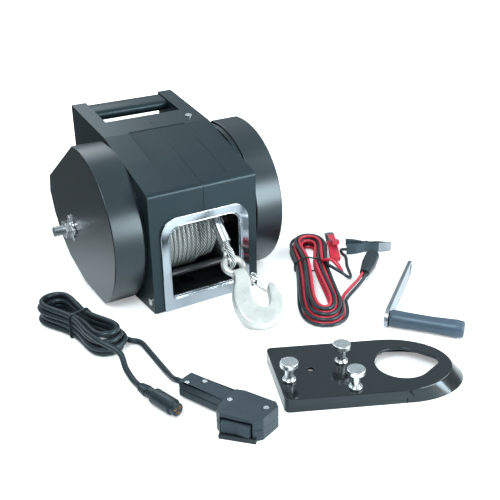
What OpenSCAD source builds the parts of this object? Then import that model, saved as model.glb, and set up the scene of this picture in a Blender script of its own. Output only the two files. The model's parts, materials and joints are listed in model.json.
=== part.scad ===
// Portable electric recovery winch with its remote control, battery lead,
// hand crank and tow-ball plate.
// Millimetres. The origin is the centre of the winch's base face, +Z is up,
// the rope leaves towards -Y, and +X is on the right as seen from the front.

/* [Housing] */
// Width of the middle housing, over both halves
housing_w = 130; // [128:1:134]
// How far the front face stands ahead of the origin
front_reach = 102; // [101:0.5:104]
// How far the rear of the handle stands behind the origin
rear_reach = 97; // [96:0.5:99]
// Height of the front face
front_h = 136; // [134:0.5:139]
// Height of the top panel at the rear of the handle
rear_h = 188; // [186:0.5:192]
// Thickness of the moulded walls
wall = 3; // [2.5:0.25:3.5]
// Radius along the front top edge
edge_r = 5; // [3:0.5:7]
// Width of the bare label recess on the top panel
label_w = 70; // [40:1:90]
// Depth of the label recess
label_depth = 0.8; // [0.4:0.1:1.2]

/* [Side covers] */
// How far each cover stands out of the middle housing
cover_w = 38.4; // [37.5:0.1:40]
// Radius of the cover's round front
cover_r = 90; // [89:0.5:91]
// Height of the centre of that round
cover_z = 80; // [79.5:0.5:81]
// Width of the shadow groove between cover and housing
groove_w = 4; // [3:0.5:5]
// Depth of the shadow groove
groove_depth = 3.5; // [2:0.5:5]

/* [Carry handle] */
// Width of the hand opening
hand_w = 94; // [88:1:98]
// Length of the hand opening, front to back, at the top panel
hand_l = 32; // [28:1:33]
// Height of the grip bar
grip_h = 18; // [14:1:20]
// How far the grip bar's top lies below the arms
grip_drop = 1.5; // [0.5:0.5:3]

/* [Fairlead plate] */
// Width of the bright plate round the rope opening
plate_w = 107; // [104:1:110]
// Height of the plate
plate_h = 107; // [105:1:109]
// Thickness of the plate
plate_t = 2.5; // [2:0.25:3]
// Width of the rope opening
mouth_w = 90; // [86:1:92]
// Lower edge of the rope opening
mouth_low = 13; // [12:0.5:15]
// Upper edge of the rope opening
mouth_top = 98; // [96:0.5:99]
// Corner radius of the plate's top
plate_corner = 20; // [14:1:24]
// Corner radius of the opening's top
mouth_corner = 16; // [10:1:18]
// How far the rolled flange reaches back into the housing
flange_l = 7; // [5:0.5:8]

/* [Frame] */
// Thickness of the folded steel
steel_t = 3; // [2.5:0.25:3.5]
// Diameter of the tie rods
rod_d = 8; // [6:0.5:10]
// Diameter of the keyholes' wide end
key_head_d = 19; // [18.5:0.25:21]
// Width of the keyholes' slots
key_slot_w = 8.6; // [8.4:0.1:9]

/* [Drum and rope] */
// Distance of the drum's axis ahead of the origin
drum_ahead = 38; // [37.5:0.25:38.5]
// Height of the drum's axis
drum_z = 62; // [61.5:0.25:63]
// Diameter of the drum's barrel
barrel_d = 36; // [32:1:40]
// Diameter of the drum's flanges
flange_d = 92; // [89:1:93]
// Diameter of the drum's shaft
drum_shaft_d = 16; // [14:0.5:17]
// Diameter of the wire rope
rope_d = 5; // [4.8:0.1:5.2]
// Radius of the outer turns, at the middle of the rope
wind_r = 38.5; // [37:0.5:39.5]
// Outer turns
outer_turns = 8; // [7:1:9]
// Turns of the layer below that show beside them
lower_turns = 3; // [2:1:3]

/* [Gears] */
// Teeth of the drum's gear
drum_teeth = 46; // [44:1:47]
// Teeth of the clutch shaft's small gear
clutch_small_teeth = 20; // [19:1:21]
// Teeth of the clutch shaft's large gear
clutch_large_teeth = 40; // [38:1:41]
// Teeth of the idler's small gear
idler_small_teeth = 12; // [12:1:13]
// Teeth of the idler's large gear
idler_large_teeth = 56; // [54:1:57]
// Teeth of the motor's pinion
motor_teeth = 12; // [12:1:13]

/* [Motor] */
// Diameter of the motor's case
motor_d = 60; // [56:1:61]
// Length of the motor's case
motor_l = 96; // [90:1:98]
// Diameter of the armature
armature_d = 38; // [34:1:40]
// Diameter of the motor's shaft
motor_shaft_d = 8; // [7:0.5:9]

/* [Hook] */
// Radius of the eye's ring, at the middle of its bar
eye_r = 10.5; // [10:0.25:11]
// Thickness of the eye's ring
eye_bar_d = 8; // [7.5:0.25:8.25]
// Width of the hook's throat
throat_w = 24; // [22:0.5:26]
// Thickness of the hook's body
hook_t = 11; // [9:0.5:12]

/* [Remote control] */
// Diameter of the remote's cord
remote_cord_d = 6; // [5.6:0.1:6.2]
// Height of the handset's head
handset_h = 22; // [20:0.5:24]
// Width of the handset's handle
handset_grip_w = 18; // [16:0.5:20]

/* [Battery lead] */
// Diameter of each wire of the battery lead
wire_d = 3.8; // [3.6:0.1:4]
// Length of each battery clamp
clamp_l = 56; // [52:1:60]

/* [Crank] */
// Length of the crank's arm
crank_arm_l = 140; // [130:1:145]
// Width of the crank's arm
crank_arm_w = 20; // [18:0.5:22]
// Length of the crank's grip
crank_grip_l = 76; // [70:1:80]

/* [Hitch plate] */
// Height of the plate's top face, over its folded rim
hitch_h = 14; // [12:0.5:16]
// Width of the plate
hitch_w = 88; // [84:1:92]
// Length of the plate
hitch_l = 176; // [172:1:180]
// Diameter of the ball hole's round end
ball_hole_d = 51.5; // [51:0.5:53]
// Diameter of the studs' heads
stud_head_d = 17; // [16:0.5:18]

/* [Hidden] */
$fn = 64;
// Overrun of every cut
cut = 1;
// Radial gap of a shaft in its bush
run_gap = 0.05;
// Gap between pieces that move past each other, or that soft pieces keep
seat_gap = 0.3;
// Gap between a pressed ring and its seat
press_gap = 0.02;
// Gap between the end of a free stretch of cord and what it joins
join_gap = 0.25;
full_turn = 360;

// Housing values
half_w = housing_w / 2;
depth = front_reach + rear_reach;
top_shares = [[0, 0], [0.27, 0.37], [0.52, 0.69], [1, 1]];
rear_shares = [[0.42, 0], [0.6, 0.11], [0.87, 0.29], [1, 0.53]];
hand_floor_share = 0.735;
hand_slope = 6;
grip_l = 27;
label_front = 11;
label_l = 94;
screw_head_d = 8;
screw_d = 4;
screw_head_h = 1.6;
side_screw_y = -94;
side_screw_z = 12;
top_screw_x = 48;
top_screw_share = 0.603;

// Cover values
cover_ahead = 8;
cover_base_z = 2.5;
cover_rear_shares = [[0.13, -0.82], [0.63, -0.64], [0.87, -0.44], [1.06, -0.17], [1.16, 0.11], [1.1, 0.34],
    [0.09, 1]];
cover_x = half_w + cover_w;

// Frame values
frame_half = half_w - wall - seat_gap;
side_shares = [[0.02, 0], [0.69, 0], [0.79, 0.16], [0.9, 0.3], [0.93, 0.5], [0.86, 0.68], [0.55, 0.72],
    [0.28, 0.7], [0.06, 0.6], [0.02, 0.45]];
front_rod_y = -80;
front_rod_z = 31;
rear_rod_y = -30;
rear_rod_z = 122;
bush_wall = 3;
bush_flange = 2;
bush_flange_t = 1.2;

// Drum values
drum_y = -drum_ahead;
drum_left_x = -44;
flange_t = 3;
drum_slack = 1.4;
wind_step = rope_d * 1.09;
layer_drop = rope_d * 0.88;
turn_rings = 24;
pack_gap = 0.06;
cross_step = rope_d * 1.18;
wind_turns = outer_turns + 1 + lower_turns;
wind_start_x = drum_left_x + flange_t + rope_d / 2 + seat_gap;
wind_end_x = wind_start_x + wind_step * (wind_turns - 1) + cross_step;
drum_right_x = wind_end_x + rope_d / 2 + drum_slack + flange_t;

// Gear values
gear_module = [2, 1.5, 1];
addendum_share = 0.75;
dedendum_share = 1.15;
backlash_share = 0.08;
pressure_angle = 20;
clutch_rise = 3;
// Free room behind the motor's case and over it
motor_behind = 15.4;
motor_over = 3.5;
drum_gear_x = [-77, -68];
small_gear_x = [-77.5, -67.5];
large_gear_x = [-85, -79];
idler_small_x = [-86.5, -78];
idler_large_x = [-92, -88];
pinion_x = [-93, -87];
gear_plate_x = [-96.5, -94.5];
clutch_shaft_d = 12;
idler_shaft_d = 8;
post_d = 7;
// Gear plate's outline and posts as shares of the cover's radius, from the cover's centre
gear_plate_shares = [[-0.11, 0.58], [0.16, -0.22], [0.18, -0.7], [0.44, -0.59], [0.97, -0.13], [1.02, 0.04],
    [0.71, 0.47], [0.07, 0.76]];
post_shares = [[0, 0.67], [0.92, -0.04], [0.31, -0.61]];

span_1 = gear_module[0] * (drum_teeth + clutch_small_teeth) / 2;
span_2 = gear_module[1] * (clutch_large_teeth + idler_small_teeth) / 2;
span_3 = gear_module[2] * (idler_large_teeth + motor_teeth) / 2;
clutch_y = drum_y + sqrt(span_1 * span_1 - clutch_rise * clutch_rise);
clutch_z = drum_z + clutch_rise;
// The motor lies under the hand opening's floor and ahead of the rear wall
motor_y = rear_reach - wall - motor_d / 2 - motor_behind;
motor_z = hand_floor_share * rear_h - wall - motor_d / 2 - motor_over;
motor_run = [motor_y - clutch_y, motor_z - clutch_z];
motor_apart = norm(motor_run);
idler_angle = atan2(motor_run[1], motor_run[0])
    + acos((motor_apart * motor_apart + span_2 * span_2 - span_3 * span_3) / (2 * motor_apart * span_2));
idler_y = clutch_y + span_2 * cos(idler_angle);
idler_z = clutch_z + span_2 * sin(idler_angle);
motor_angle = atan2(motor_z - idler_z, motor_y - idler_y);

// Motor values
motor_left_x = -frame_half + steel_t;
motor_right_x = motor_left_x + motor_l;
motor_wall = 2.5;
magnet_t = 6;
magnet_angle = 130;
cap_t = 3;
cap_boss_d = 16;
cap_boss_l = 7;
armature_shares = [0.17, 0.74];
armature_slots = 12;
slot_w = 2.4;
slot_depth = 6;
commutator_shares = [0.78, 0.88];
commutator_d = 22;
brush_w = 6;

// Clutch end values
washer_t = 2;
washer_d = 22;
washer_tabs = 6;
washer_tab_w = 6;
washer_reach = 15;
nut_af = 18;
nut_h = 8;
nut_gap = 0.05;
stud_out = 22;
stud_end_d = 11.5;

// Hook values
hook_lean = 62;
hook_reach = 94;
// Across, as shares of the throat's width, and down from the rope, as shares of the reach
hook_shares = [[-0.25, 0.19], [-0.39, 0.31], [-0.8, 0.46], [-1.05, 0.63], [-1.05, 0.81], [-0.75, 0.93],
    [-0.2, 0.995],
    [0.3, 0.98], [0.75, 0.93], [1.1, 0.82], [1.25, 0.65], [1.24, 0.53], [1.1, 0.48], [0.92, 0.51], [0.72, 0.64],
    [0.45, 0.745], [0.18, 0.77], [-0.05, 0.73], [-0.07, 0.65], [0.05, 0.53], [0.22, 0.42], [0.33, 0.31],
        [0.33, 0.19]];
loop_x = 21;
loop_y = -front_reach - 14;
loop_z = hook_reach * cos(hook_lean) + hook_t / 2 * sin(hook_lean) + pack_gap;
loop_centre = [loop_x, loop_y, loop_z];
thimble_t = 1.2;
thimble_w = 7.6;
thimble_flange_t = 1;
thimble_in = eye_bar_d / 2 + 1;
thimble_out = thimble_in + thimble_t;
loop_r = thimble_out + seat_gap + rope_d / 2;
eye_shift = 0.6;
lead_rise = 44;
rear_leg_rise = 72;
latch_t = 1.5;
latch_lug_w = 5;
latch_cheek_t = 1.5;
latch_lug_r = 4;
latch_pin_d = 3.5;
latch_l = 22.5;
latch_turn = 77;
// Place of the latch's pin, as shares of the throat's width and of the reach
latch_pin_shares = [0.54, 0.33];

// Unit vector along v
function unit(v) = v / norm(v);
// Points of an arc round (y, z)
function arc(y, z, r, a0, a1, n) = [for (i = [0:n]) let(a = a0 + (a1 - a0) * i / n) [y + r * cos(a),
    z + r * sin(a)]];
// Polygon moved inwards by d; it runs anticlockwise
function inset(p, d) = [for (i = [0:len(p) - 1]) let(
    a = p[(i + len(p) - 1) % len(p)], b = p[i], c = p[(i + 1) % len(p)],
    u = unit(b - a), v = unit(c - b), m = [-u[1], u[0]], n = [-v[1], v[0]])
    b + d * (m + n) / (1 + m * n)];
// Smooth path through p, n steps to a stretch
function spline(p, n) = concat([for (i = [0:len(p) - 2]) let(
    a = p[max(i - 1, 0)], b = p[i], c = p[i + 1], d = p[min(i + 2, len(p) - 1)])
    for (k = [0:n - 1]) let(t = k / n)
    0.5 * (2 * b + t * (c - a) + t * t * (2 * a - 5 * b + 4 * c - d) + t * t * t * (3 * b - a - 3 * c + d))],
    [p[len(p) - 1]]);
function tangent(p, i) = unit(p[min(i + 1, len(p) - 1)] - p[max(i - 1, 0)]);
// 0 to 1 as t passes from a to b, with a smooth start and end
function ease(t, a, b) = let(s = min(1, max(0, (t - a) / (b - a)))) s * s * (3 - 2 * s);
// Least distance between the middles of turns of one path, less its diameter
function least_gap(p, apart, d) = min([for (i = [0:len(p) - 1]) for (j = [i + apart:1:len(p) - 1])
    norm(p[i] - p[j])]) - d;

// Solid between two places along X with an outline in Y and Z
module along_x(x0, x1, points) translate([x0, 0, 0]) rotate([90, 0,
    90]) linear_extrude(x1 - x0) polygon(points);
// Round bar along X
module rod_x(x0, x1, y, z, r) translate([x0, y, z]) rotate([0, 90, 0]) cylinder(h = x1 - x0, r = r);
// Tube that follows a path; up[i] stands across the path at point i
module tube(path, up, r, sides) {
    n = len(path);
    rings = [for (i = [0:n - 1]) let(t = tangent(path, i), s = unit(cross(up[i], t)), u = cross(t, s))
        for (j = [0:sides - 1]) let(a = 360 * (j + 0.5) / sides) path[i] + r * (cos(a) * s + sin(a) * u)];
    walls = [for (i = [0:n - 2]) for (j = [0:sides - 1]) let(
        a = i * sides + j, b = i * sides + (j + 1) % sides, c = b + sides, d = a + sides)
        for (f = [[a, c, b], [a, d, c]]) f];
    caps = [for (j = [1:sides - 2]) for (f = [[0, j, j + 1], [(n - 1) * sides, (n - 1) * sides + j + 1,
        (n - 1) * sides + j]]) f];
    polyhedron(points = rings, faces = concat(walls, caps), convexity = 10);
}
function upright(path) = [for (p = path) [0, 0, 1]];

// Housing outlines
function panel_y(share) = -front_reach + share * depth;
panel = [for (s = top_shares) [panel_y(s[0]), front_h + s[1] * (rear_h - front_h)]];
function panel_z(y) = lookup(y, panel);
panel_rise = atan2(panel[1][1] - panel[0][1], panel[1][0] - panel[0][0]);
edge_z = front_h + edge_r * tan(panel_rise) - edge_r / cos(panel_rise);
arm_outline = concat([[-front_reach, 0]], [for (s = rear_shares) [s[0] * rear_reach, s[1] * rear_h]],
    [[rear_reach, rear_h], panel[2], panel[1]],
    arc(-front_reach + edge_r, edge_z, edge_r, 90 + panel_rise, 180, 6));
hand_front = rear_reach - grip_l - hand_l;
hand_floor = hand_floor_share * rear_h;
hand_outline = [[hand_front, rear_h + cut], [hand_front, panel_z(hand_front)], [hand_front + hand_slope,
    hand_floor],
    [rear_reach + cut, hand_floor], [rear_reach + cut, rear_h + cut]];
cover_y = -cover_ahead;
cover_start = 180 + asin((cover_z - cover_base_z) / cover_r);
cover_outline = concat([for (s = cover_rear_shares) [cover_y + s[0] * cover_r, cover_z + s[1] * cover_r]],
    arc(cover_y, cover_z, cover_r, 90, cover_start, 40));
side_outline = [for (s = side_shares) [panel_y(s[0]), s[1] * rear_h]];

panel_slope = atan2(panel[3][1] - panel[2][1], panel[3][0] - panel[2][0]);
top_screw_y = panel_y(top_screw_share);
module at_top_screw() translate([top_screw_x, top_screw_y, panel_z(top_screw_y)]) rotate([panel_slope, 0,
    0]) children();
module at_side_screw(side) translate([side * half_w, side_screw_y, side_screw_z]) rotate([0, side * 90,
    0]) children();
module housing_half(side) {
    x0 = side < 0 ? -half_w : 0;
    x1 = side < 0 ? 0 : half_w;
    outer = side * half_w;
    difference() {
        along_x(x0, x1, arm_outline);
        along_x(-hand_w / 2, hand_w / 2, hand_outline);
        difference() {
            along_x(-half_w + wall, half_w - wall, inset(arm_outline, wall));
            along_x(-hand_w / 2 - wall, hand_w / 2 + wall, inset(hand_outline, -wall));
        }
        // Open base
        translate([-half_w + wall, -front_reach + wall, -cut])
            cube([housing_w - 2 * wall, front_reach + rear_shares[0][0] * rear_reach - 2 * wall,
                wall + 2 * cut]);
        // Window behind the fairlead plate
        translate([-mouth_w / 2 - plate_t - seat_gap, -front_reach - cut, -cut])
            cube([mouth_w + 2 * (plate_t + seat_gap), wall + 2 * cut, mouth_top + plate_t + seat_gap + cut]);
        // Bare recess for a label
        along_x(-label_w / 2, label_w / 2, concat(
            [for (y = [-front_reach + label_front, panel[1][0], panel[2][0],
                -front_reach + label_front + label_l])
                [y, panel_z(y) - label_depth]],
            [[-front_reach + label_front + label_l, rear_h], [-front_reach + label_front, rear_h]]));
        // Shaft windows
        rod_x(outer - wall - cut, outer + wall + cut, drum_y, drum_z,
            drum_shaft_d / 2 + bush_wall + bush_flange + seat_gap);
        if (side < 0) {
            rod_x(-half_w - cut, -half_w + wall + cut, clutch_y, clutch_z,
                clutch_shaft_d / 2 + bush_wall + bush_flange + seat_gap);
            rod_x(-half_w - cut, -half_w + wall + cut, idler_y, idler_z,
                idler_shaft_d / 2 + bush_wall + bush_flange + seat_gap);
            rod_x(-half_w - cut, -half_w + wall + cut, motor_y, motor_z, motor_shaft_d / 2 + cut);
        }
        // Screw holes
        rod_x(outer - wall - cut, outer + wall + cut, side_screw_y, side_screw_z, screw_d / 2 + press_gap);
        at_top_screw() translate([0, 0, -2 * wall]) cylinder(h = 4 * wall, d = screw_d + 2 * press_gap);
    }
}
module left_housing() color("#2e3b40") housing_half(-1);
module right_housing() color("#2e3b40") housing_half(1);

// Side cover with its round front; side is -1 on the left and 1 on the right
module cover(side) {
    inner_x = half_w;
    difference() {
        union() {
            mirror([side < 0 ? 1 : 0, 0, 0]) along_x(inner_x + groove_w, cover_x, cover_outline);
            mirror([side < 0 ? 1 : 0, 0, 0]) along_x(inner_x, inner_x + groove_w, inset(cover_outline,
                groove_depth));
        }
        mirror([side < 0 ? 1 : 0, 0, 0]) along_x(inner_x - cut, cover_x - wall, inset(cover_outline,
            groove_depth + wall));
        if (side < 0) rod_x(-cover_x - cut, -cover_x + wall + cut, clutch_y, clutch_z,
            clutch_shaft_d / 2 + seat_gap);
        if (side > 0) for (s = sockets) rod_x(cover_x - wall - cut, cover_x + cut, s[0], s[1],
            s[2] + press_gap);
    }
}
module left_cover() color("#333f47") cover(-1);
module right_cover() color("#333f47") cover(1);

// Grip bar between the arms
module carry_handle() {
    top = inset([[rear_reach - grip_l, panel_z(rear_reach - grip_l) - grip_drop - grip_h],
        [rear_reach, panel_z(rear_reach - grip_l) - grip_drop - grip_h],
        [rear_reach, rear_h - grip_drop], [rear_reach - grip_l, panel_z(rear_reach - grip_l) - grip_drop]],
            grip_round);
    color("#3b474c") along_x(-hand_w / 2, hand_w / 2, [for (i = [0:3])
        for (p = arc(top[i][0], top[i][1], grip_round, 180 + 90 * i, 270 + 90 * i, 5)) p]);
}
grip_round = 5;

// Outline of a plate in X and Z, its top corners of radius r and its lower ones of radius foot
function arch(w, low, high, r, foot) = concat(arc(w / 2 - foot, low + foot, foot, -90, 0, 6),
    arc(w / 2 - r, high - r, r, 0, 90, 8), arc(-w / 2 + r, high - r, r, 90, 180, 8),
    arc(-w / 2 + foot, low + foot, foot, 180, 270, 6));
module along_y(y0, y1, points) translate([0, y1, 0]) rotate([90, 0, 0]) linear_extrude(y1 - y0) polygon(points);
module fairlead_plate() color("silver") difference() {
    union() {
        along_y(-front_reach - plate_t, -front_reach, arch(plate_w, 0, plate_h, plate_corner, plate_foot));
        along_y(-front_reach, -front_reach + flange_l,
            arch(mouth_w + 2 * plate_t, mouth_low - plate_t, mouth_top + plate_t, mouth_corner + plate_t,
                mouth_foot + plate_t));
    }
    along_y(-front_reach - plate_t - cut, -front_reach + flange_l + cut,
        arch(mouth_w, mouth_low, mouth_top, mouth_corner, mouth_foot));
}
plate_foot = 2;
mouth_foot = 7;

// Keyhole whose slot runs rearwards from the wide end
module keyhole(x, y) {
    translate([x, y, -cut]) cylinder(h = steel_t + 2 * cut, d = key_slot_w);
    translate([x, y - key_run, -cut]) cylinder(h = steel_t + 2 * cut, d = key_head_d);
    translate([x - key_slot_w / 2, y - key_run, -cut]) cube([key_slot_w, key_run, steel_t + 2 * cut]);
}
key_run = 16;
key_rear_y = 20;
// Places of the three studs, along and across the hitch plate
stud_shares = [[0.048, 0.34], [0.35, 0.61], [0.37, 0.12]];
stud_places = [for (s = stud_shares) [s[0] * hitch_l, s[1] * hitch_w]];
module winch_frame() color("#22272a") difference() {
    union() {
        translate([-frame_half, panel_y(side_shares[0][0]), 0])
            cube([2 * frame_half, (side_shares[1][0] - side_shares[0][0]) * depth, steel_t]);
        for (x = [-frame_half, frame_half - steel_t]) along_x(x, x + steel_t, side_outline);
    }
    for (s = stud_places) keyhole(stud_places[0][1] - s[1], key_rear_y + s[0] - stud_places[1][0]);
    for (side = [-1, 1]) rod_x(side * frame_half - 2 * steel_t, side * frame_half + 2 * steel_t, drum_y, drum_z,
        drum_shaft_d / 2 + bush_wall + press_gap);
    rod_x(-frame_half - cut, -frame_half + steel_t + cut, clutch_y, clutch_z,
        clutch_shaft_d / 2 + bush_wall + press_gap);
    rod_x(-frame_half - cut, -frame_half + steel_t + cut, idler_y, idler_z,
        idler_shaft_d / 2 + bush_wall + press_gap);
    rod_x(-frame_half - cut, -frame_half + steel_t + cut, motor_y, motor_z, motor_shaft_d / 2 + cut);
    for (r = rods) rod_x(-frame_half - cut, frame_half + cut, r[0], r[1], rod_d / 2 - rod_step + press_gap);
    rod_x(-frame_half - cut, frame_half + cut, side_screw_y, side_screw_z, screw_d / 2 + press_gap);
}
rods = [[front_rod_y, front_rod_z], [rear_rod_y, rear_rod_z]];
rod_step = 1.5;
module tie_rods() color("#2a2d2e") for (r = rods) {
    rod_x(-frame_half + steel_t, frame_half - steel_t, r[0], r[1], rod_d / 2);
    rod_x(-frame_half, frame_half, r[0], r[1], rod_d / 2 - rod_step);
}

// Places in Y and Z given as shares of the cover's radius
function cover_place(s) = [cover_y + s[0] * cover_r, cover_z + s[1] * cover_r];
module gear_plate() color("#9aa0a4") difference() {
    union() {
        along_x(gear_plate_x[0], gear_plate_x[1], [for (s = gear_plate_shares) cover_place(s)]);
        for (s = post_shares) rod_x(gear_plate_x[1], -half_w, cover_place(s)[0], cover_place(s)[1], post_d / 2);
    }
    for (b = outer_bushes) rod_x(gear_plate_x[0] - cut, gear_plate_x[1] + cut, b[0], b[1],
        b[2] + bush_wall + press_gap);
}
// Bush places with the radius of the shaft in each
inner_bushes = [[drum_y, drum_z, drum_shaft_d / 2], [clutch_y, clutch_z, clutch_shaft_d / 2], [idler_y,
    idler_z, idler_shaft_d / 2]];
outer_bushes = [inner_bushes[1], inner_bushes[2]];

module bush(x, l, b, side) difference() {
    union() {
        rod_x(x, x + l, b[0], b[1], b[2] + bush_wall);
        flange_x = side < 0 ? x - bush_flange_t : x + l;
        rod_x(flange_x, flange_x + bush_flange_t, b[0], b[1], b[2] + bush_wall + bush_flange);
    }
    rod_x(x - cut - bush_flange_t, x + l + cut + bush_flange_t, b[0], b[1], b[2] + run_gap);
}
module shaft_bushes() color("#b08d57") {
    for (b = inner_bushes) bush(-frame_half, steel_t, b, -1);
    bush(frame_half - steel_t, steel_t, inner_bushes[0], 1);
    for (b = outer_bushes) bush(gear_plate_x[0], gear_plate_x[1] - gear_plate_x[0], b, 1);
}

module drum() color("#7d8286") difference() {
    union() {
        rod_x(drum_left_x, drum_right_x, drum_y, drum_z, barrel_d / 2);
        rod_x(drum_left_x, drum_left_x + flange_t, drum_y, drum_z, flange_d / 2);
        rod_x(drum_right_x - flange_t, drum_right_x, drum_y, drum_z, flange_d / 2);
    }
    rod_x(drum_left_x - cut, drum_right_x + cut, drum_y, drum_z, drum_shaft_d / 2 + press_gap);
}
shaft_stub = 2.2;
shaft_end_x = frame_half + shaft_stub;
module drum_shaft() color("#a5a9ac") rod_x(drum_gear_x[0] - shaft_stub, shaft_end_x, drum_y, drum_z,
    drum_shaft_d / 2);

// Winding: place along X and radius at turn t, outer layer first
function wind_x(t) = wind_start_x + wind_step * t + (cross_step - wind_step) * min(1, max(0, t - outer_turns));
function wind_radius(t) = wind_r - layer_drop * ease(t, outer_turns + 0.5, outer_turns + 1);
function wind_angle(t) = wind_angle_0 + 360 * t;
wind_angle_0 = -60;
function radial(a) = [0, cos(a), sin(a)];
function wind_point(t) = [wind_x(t), drum_y, drum_z] + wind_radius(t) * radial(wind_angle(t));
// Adds a straight run of length d to both ends of a path
function run_out(p, d) = concat([p[0] + d * unit(p[0] - p[1])], p,
    [p[len(p) - 1] + d * unit(p[len(p) - 1] - p[len(p) - 2])]);
wind_turn_path = [for (i = [0:wind_turns * turn_rings]) wind_point(i / turn_rings)];
wind_path = run_out(wind_turn_path, rope_d);
wind_up = [for (i = [-1:wind_turns * turn_rings + 1])
    radial(wind_angle(min(wind_turns, max(0, i / turn_rings))))];
echo(rope_winding_least_gap = least_gap(wind_turn_path, turn_rings / 2, rope_d));
module rope_winding() color("#c4c9cc") tube(wind_path, wind_up, rope_d / 2, 6);

core_r = (wind_r - rope_d / 2) * cos(180 / turn_rings) - pack_gap;
core_step_x = wind_x(outer_turns) + rope_d / 10;
module rope_pack() color("#aab0b4") difference() {
    union() {
        rod_x(drum_left_x + flange_t, core_step_x, drum_y, drum_z, core_r);
        rod_x(core_step_x, drum_right_x - flange_t, drum_y, drum_z, core_r - layer_drop);
    }
    rod_x(drum_left_x, drum_right_x, drum_y, drum_z, barrel_d / 2 + press_gap);
}

// Rope from the drum to the hook
lead_x = loop_x - 1;
lead_r = wind_r - layer_drop + rope_d + pack_gap * 10;
lead_start = -30;
lead_leave = 100;
// Hand-chosen way from the drum to the straight end, in Y and Z
lead_way = [[-60, 98.5], [-74, 95]];
straight_from = 46;
ferrule_from = 27;
ferrule_l = 19;
tail_apart = rope_d + 0.3;
rise_dir = [0, cos(lead_rise), sin(lead_rise)];
rise_side = [0, sin(lead_rise), -cos(lead_rise)];
function leg(t) = loop_centre + loop_r * radial(lead_rise + 90) + t * rise_dir;
rear_leg = radial(rear_leg_rise);
loop_end = 270 + rear_leg_rise;
loop_points = 13;
lead_path = concat(
    [for (i = [0:10]) [lead_x, drum_y, drum_z] + lead_r * radial(lead_start + (lead_leave - lead_start)
        * i / 10)],
    [for (w = lead_way) [lead_x + 0.5, w[0], w[1]]],
    [leg(straight_from), leg(ferrule_from + ferrule_l / 2), leg(ferrule_from / 2)],
    [for (i = [0:loop_points]) loop_centre + loop_r * radial(lead_rise + 90 + (loop_end - lead_rise - 90)
        * i / loop_points)],
    [loop_centre + loop_r * radial(loop_end) + 13 * rear_leg,
        leg(ferrule_from - 5) + tail_apart * rise_side, leg(ferrule_from) + tail_apart * rise_side,
        leg(ferrule_from + ferrule_l + rope_d / 2) + tail_apart * rise_side]);
module rope_lead() color("#c4c9cc") tube(lead_path, [for (p = lead_path) [1, 0, 0]], rope_d / 2, 8);
module along_rise(t) translate(leg(t)) rotate([lead_rise - 90, 0, 0]) children();
ferrule_wall = 1.8;
module rope_ferrule() color("#b9bec2") along_rise(ferrule_from) difference() {
    union() {
        for (y = [0, tail_apart]) translate([0, y, 0]) cylinder(h = ferrule_l, r = rope_d / 2 + ferrule_wall);
        translate([-rope_d / 2 - ferrule_wall, 0, 0]) cube([rope_d + 2 * ferrule_wall, tail_apart, ferrule_l]);
    }
    for (y = [0, tail_apart]) translate([0, y, -cut]) cylinder(h = ferrule_l + 2 * cut,
        r = rope_d / 2 + press_gap);
}

// Bow round the hook's pivot, its two legs of length l
function bow_leg(r, a, toward, l) = [loop_y + r * cos(a) + l * cos(toward),
    loop_z + r * sin(a) + l * sin(toward)];
function bow(r, l) = concat(arc(loop_y, loop_z, r, lead_rise + 90, loop_end, 16),
    [bow_leg(r, loop_end, rear_leg_rise, l), bow_leg(r, lead_rise + 90, lead_rise, l)]);
thimble_leg = 9;
module rope_thimble() color("#c9cdd0") difference() {
    union() {
        along_x(loop_x - thimble_w / 2, loop_x + thimble_w / 2, bow(thimble_out, thimble_leg));
        for (x = [-thimble_w / 2, thimble_w / 2 - thimble_flange_t])
            along_x(loop_x + x, loop_x + x + thimble_flange_t, bow(loop_r, thimble_leg));
    }
    along_x(loop_x - thimble_w, loop_x + thimble_w, bow(thimble_in, thimble_leg + cut));
}

// The hook's own plane: X across, Y down from the rope, Z through its thickness
module hook_plane() translate(loop_centre) rotate([270 - hook_lean, 0, 0]) children();
hook_outline = spline([for (s = hook_shares) [s[0] * throat_w, s[1] * hook_reach]], 3);
latch_pin_place = [latch_pin_shares[0] * throat_w, latch_pin_shares[1] * hook_reach];
module hook() color("#b8bdbf") hook_plane() difference() {
    union() {
        translate([0, eye_r - eye_shift, 0]) rotate_extrude() translate([eye_r, 0]) circle(d = eye_bar_d);
        translate([0, 0, -hook_t / 2]) linear_extrude(hook_t) polygon(hook_outline);
        translate([latch_pin_place[0], latch_pin_place[1], -latch_lug_w / 2]) cylinder(h = latch_lug_w,
            r = latch_lug_r);
        translate([0, latch_pin_place[1] - latch_lug_r, -latch_lug_w / 2]) cube([latch_pin_place[0],
            2 * latch_lug_r, latch_lug_w]);
    }
    translate([0, eye_r - eye_shift, -hook_t]) cylinder(h = 2 * hook_t, r = eye_r - eye_bar_d / 2);
    translate([latch_pin_place[0], latch_pin_place[1], -hook_t]) cylinder(h = 2 * hook_t,
        d = latch_pin_d + 2 * press_gap);
    // Room for the latch's cheeks beside the lug
    for (side = [-1, 1]) translate([latch_pin_place[0], latch_pin_place[1],
        side < 0 ? -hook_t : latch_lug_w / 2])
        cylinder(h = hook_t - latch_lug_w / 2, r = latch_lug_r + 2 * seat_gap);
}
latch_half_w = latch_lug_w / 2 + seat_gap + latch_cheek_t;
module latch_pin() color("#9da2a5") hook_plane() translate([latch_pin_place[0], latch_pin_place[1],
    -latch_half_w - latch_t / 2])
    cylinder(h = 2 * latch_half_w + latch_t, d = latch_pin_d);
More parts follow.
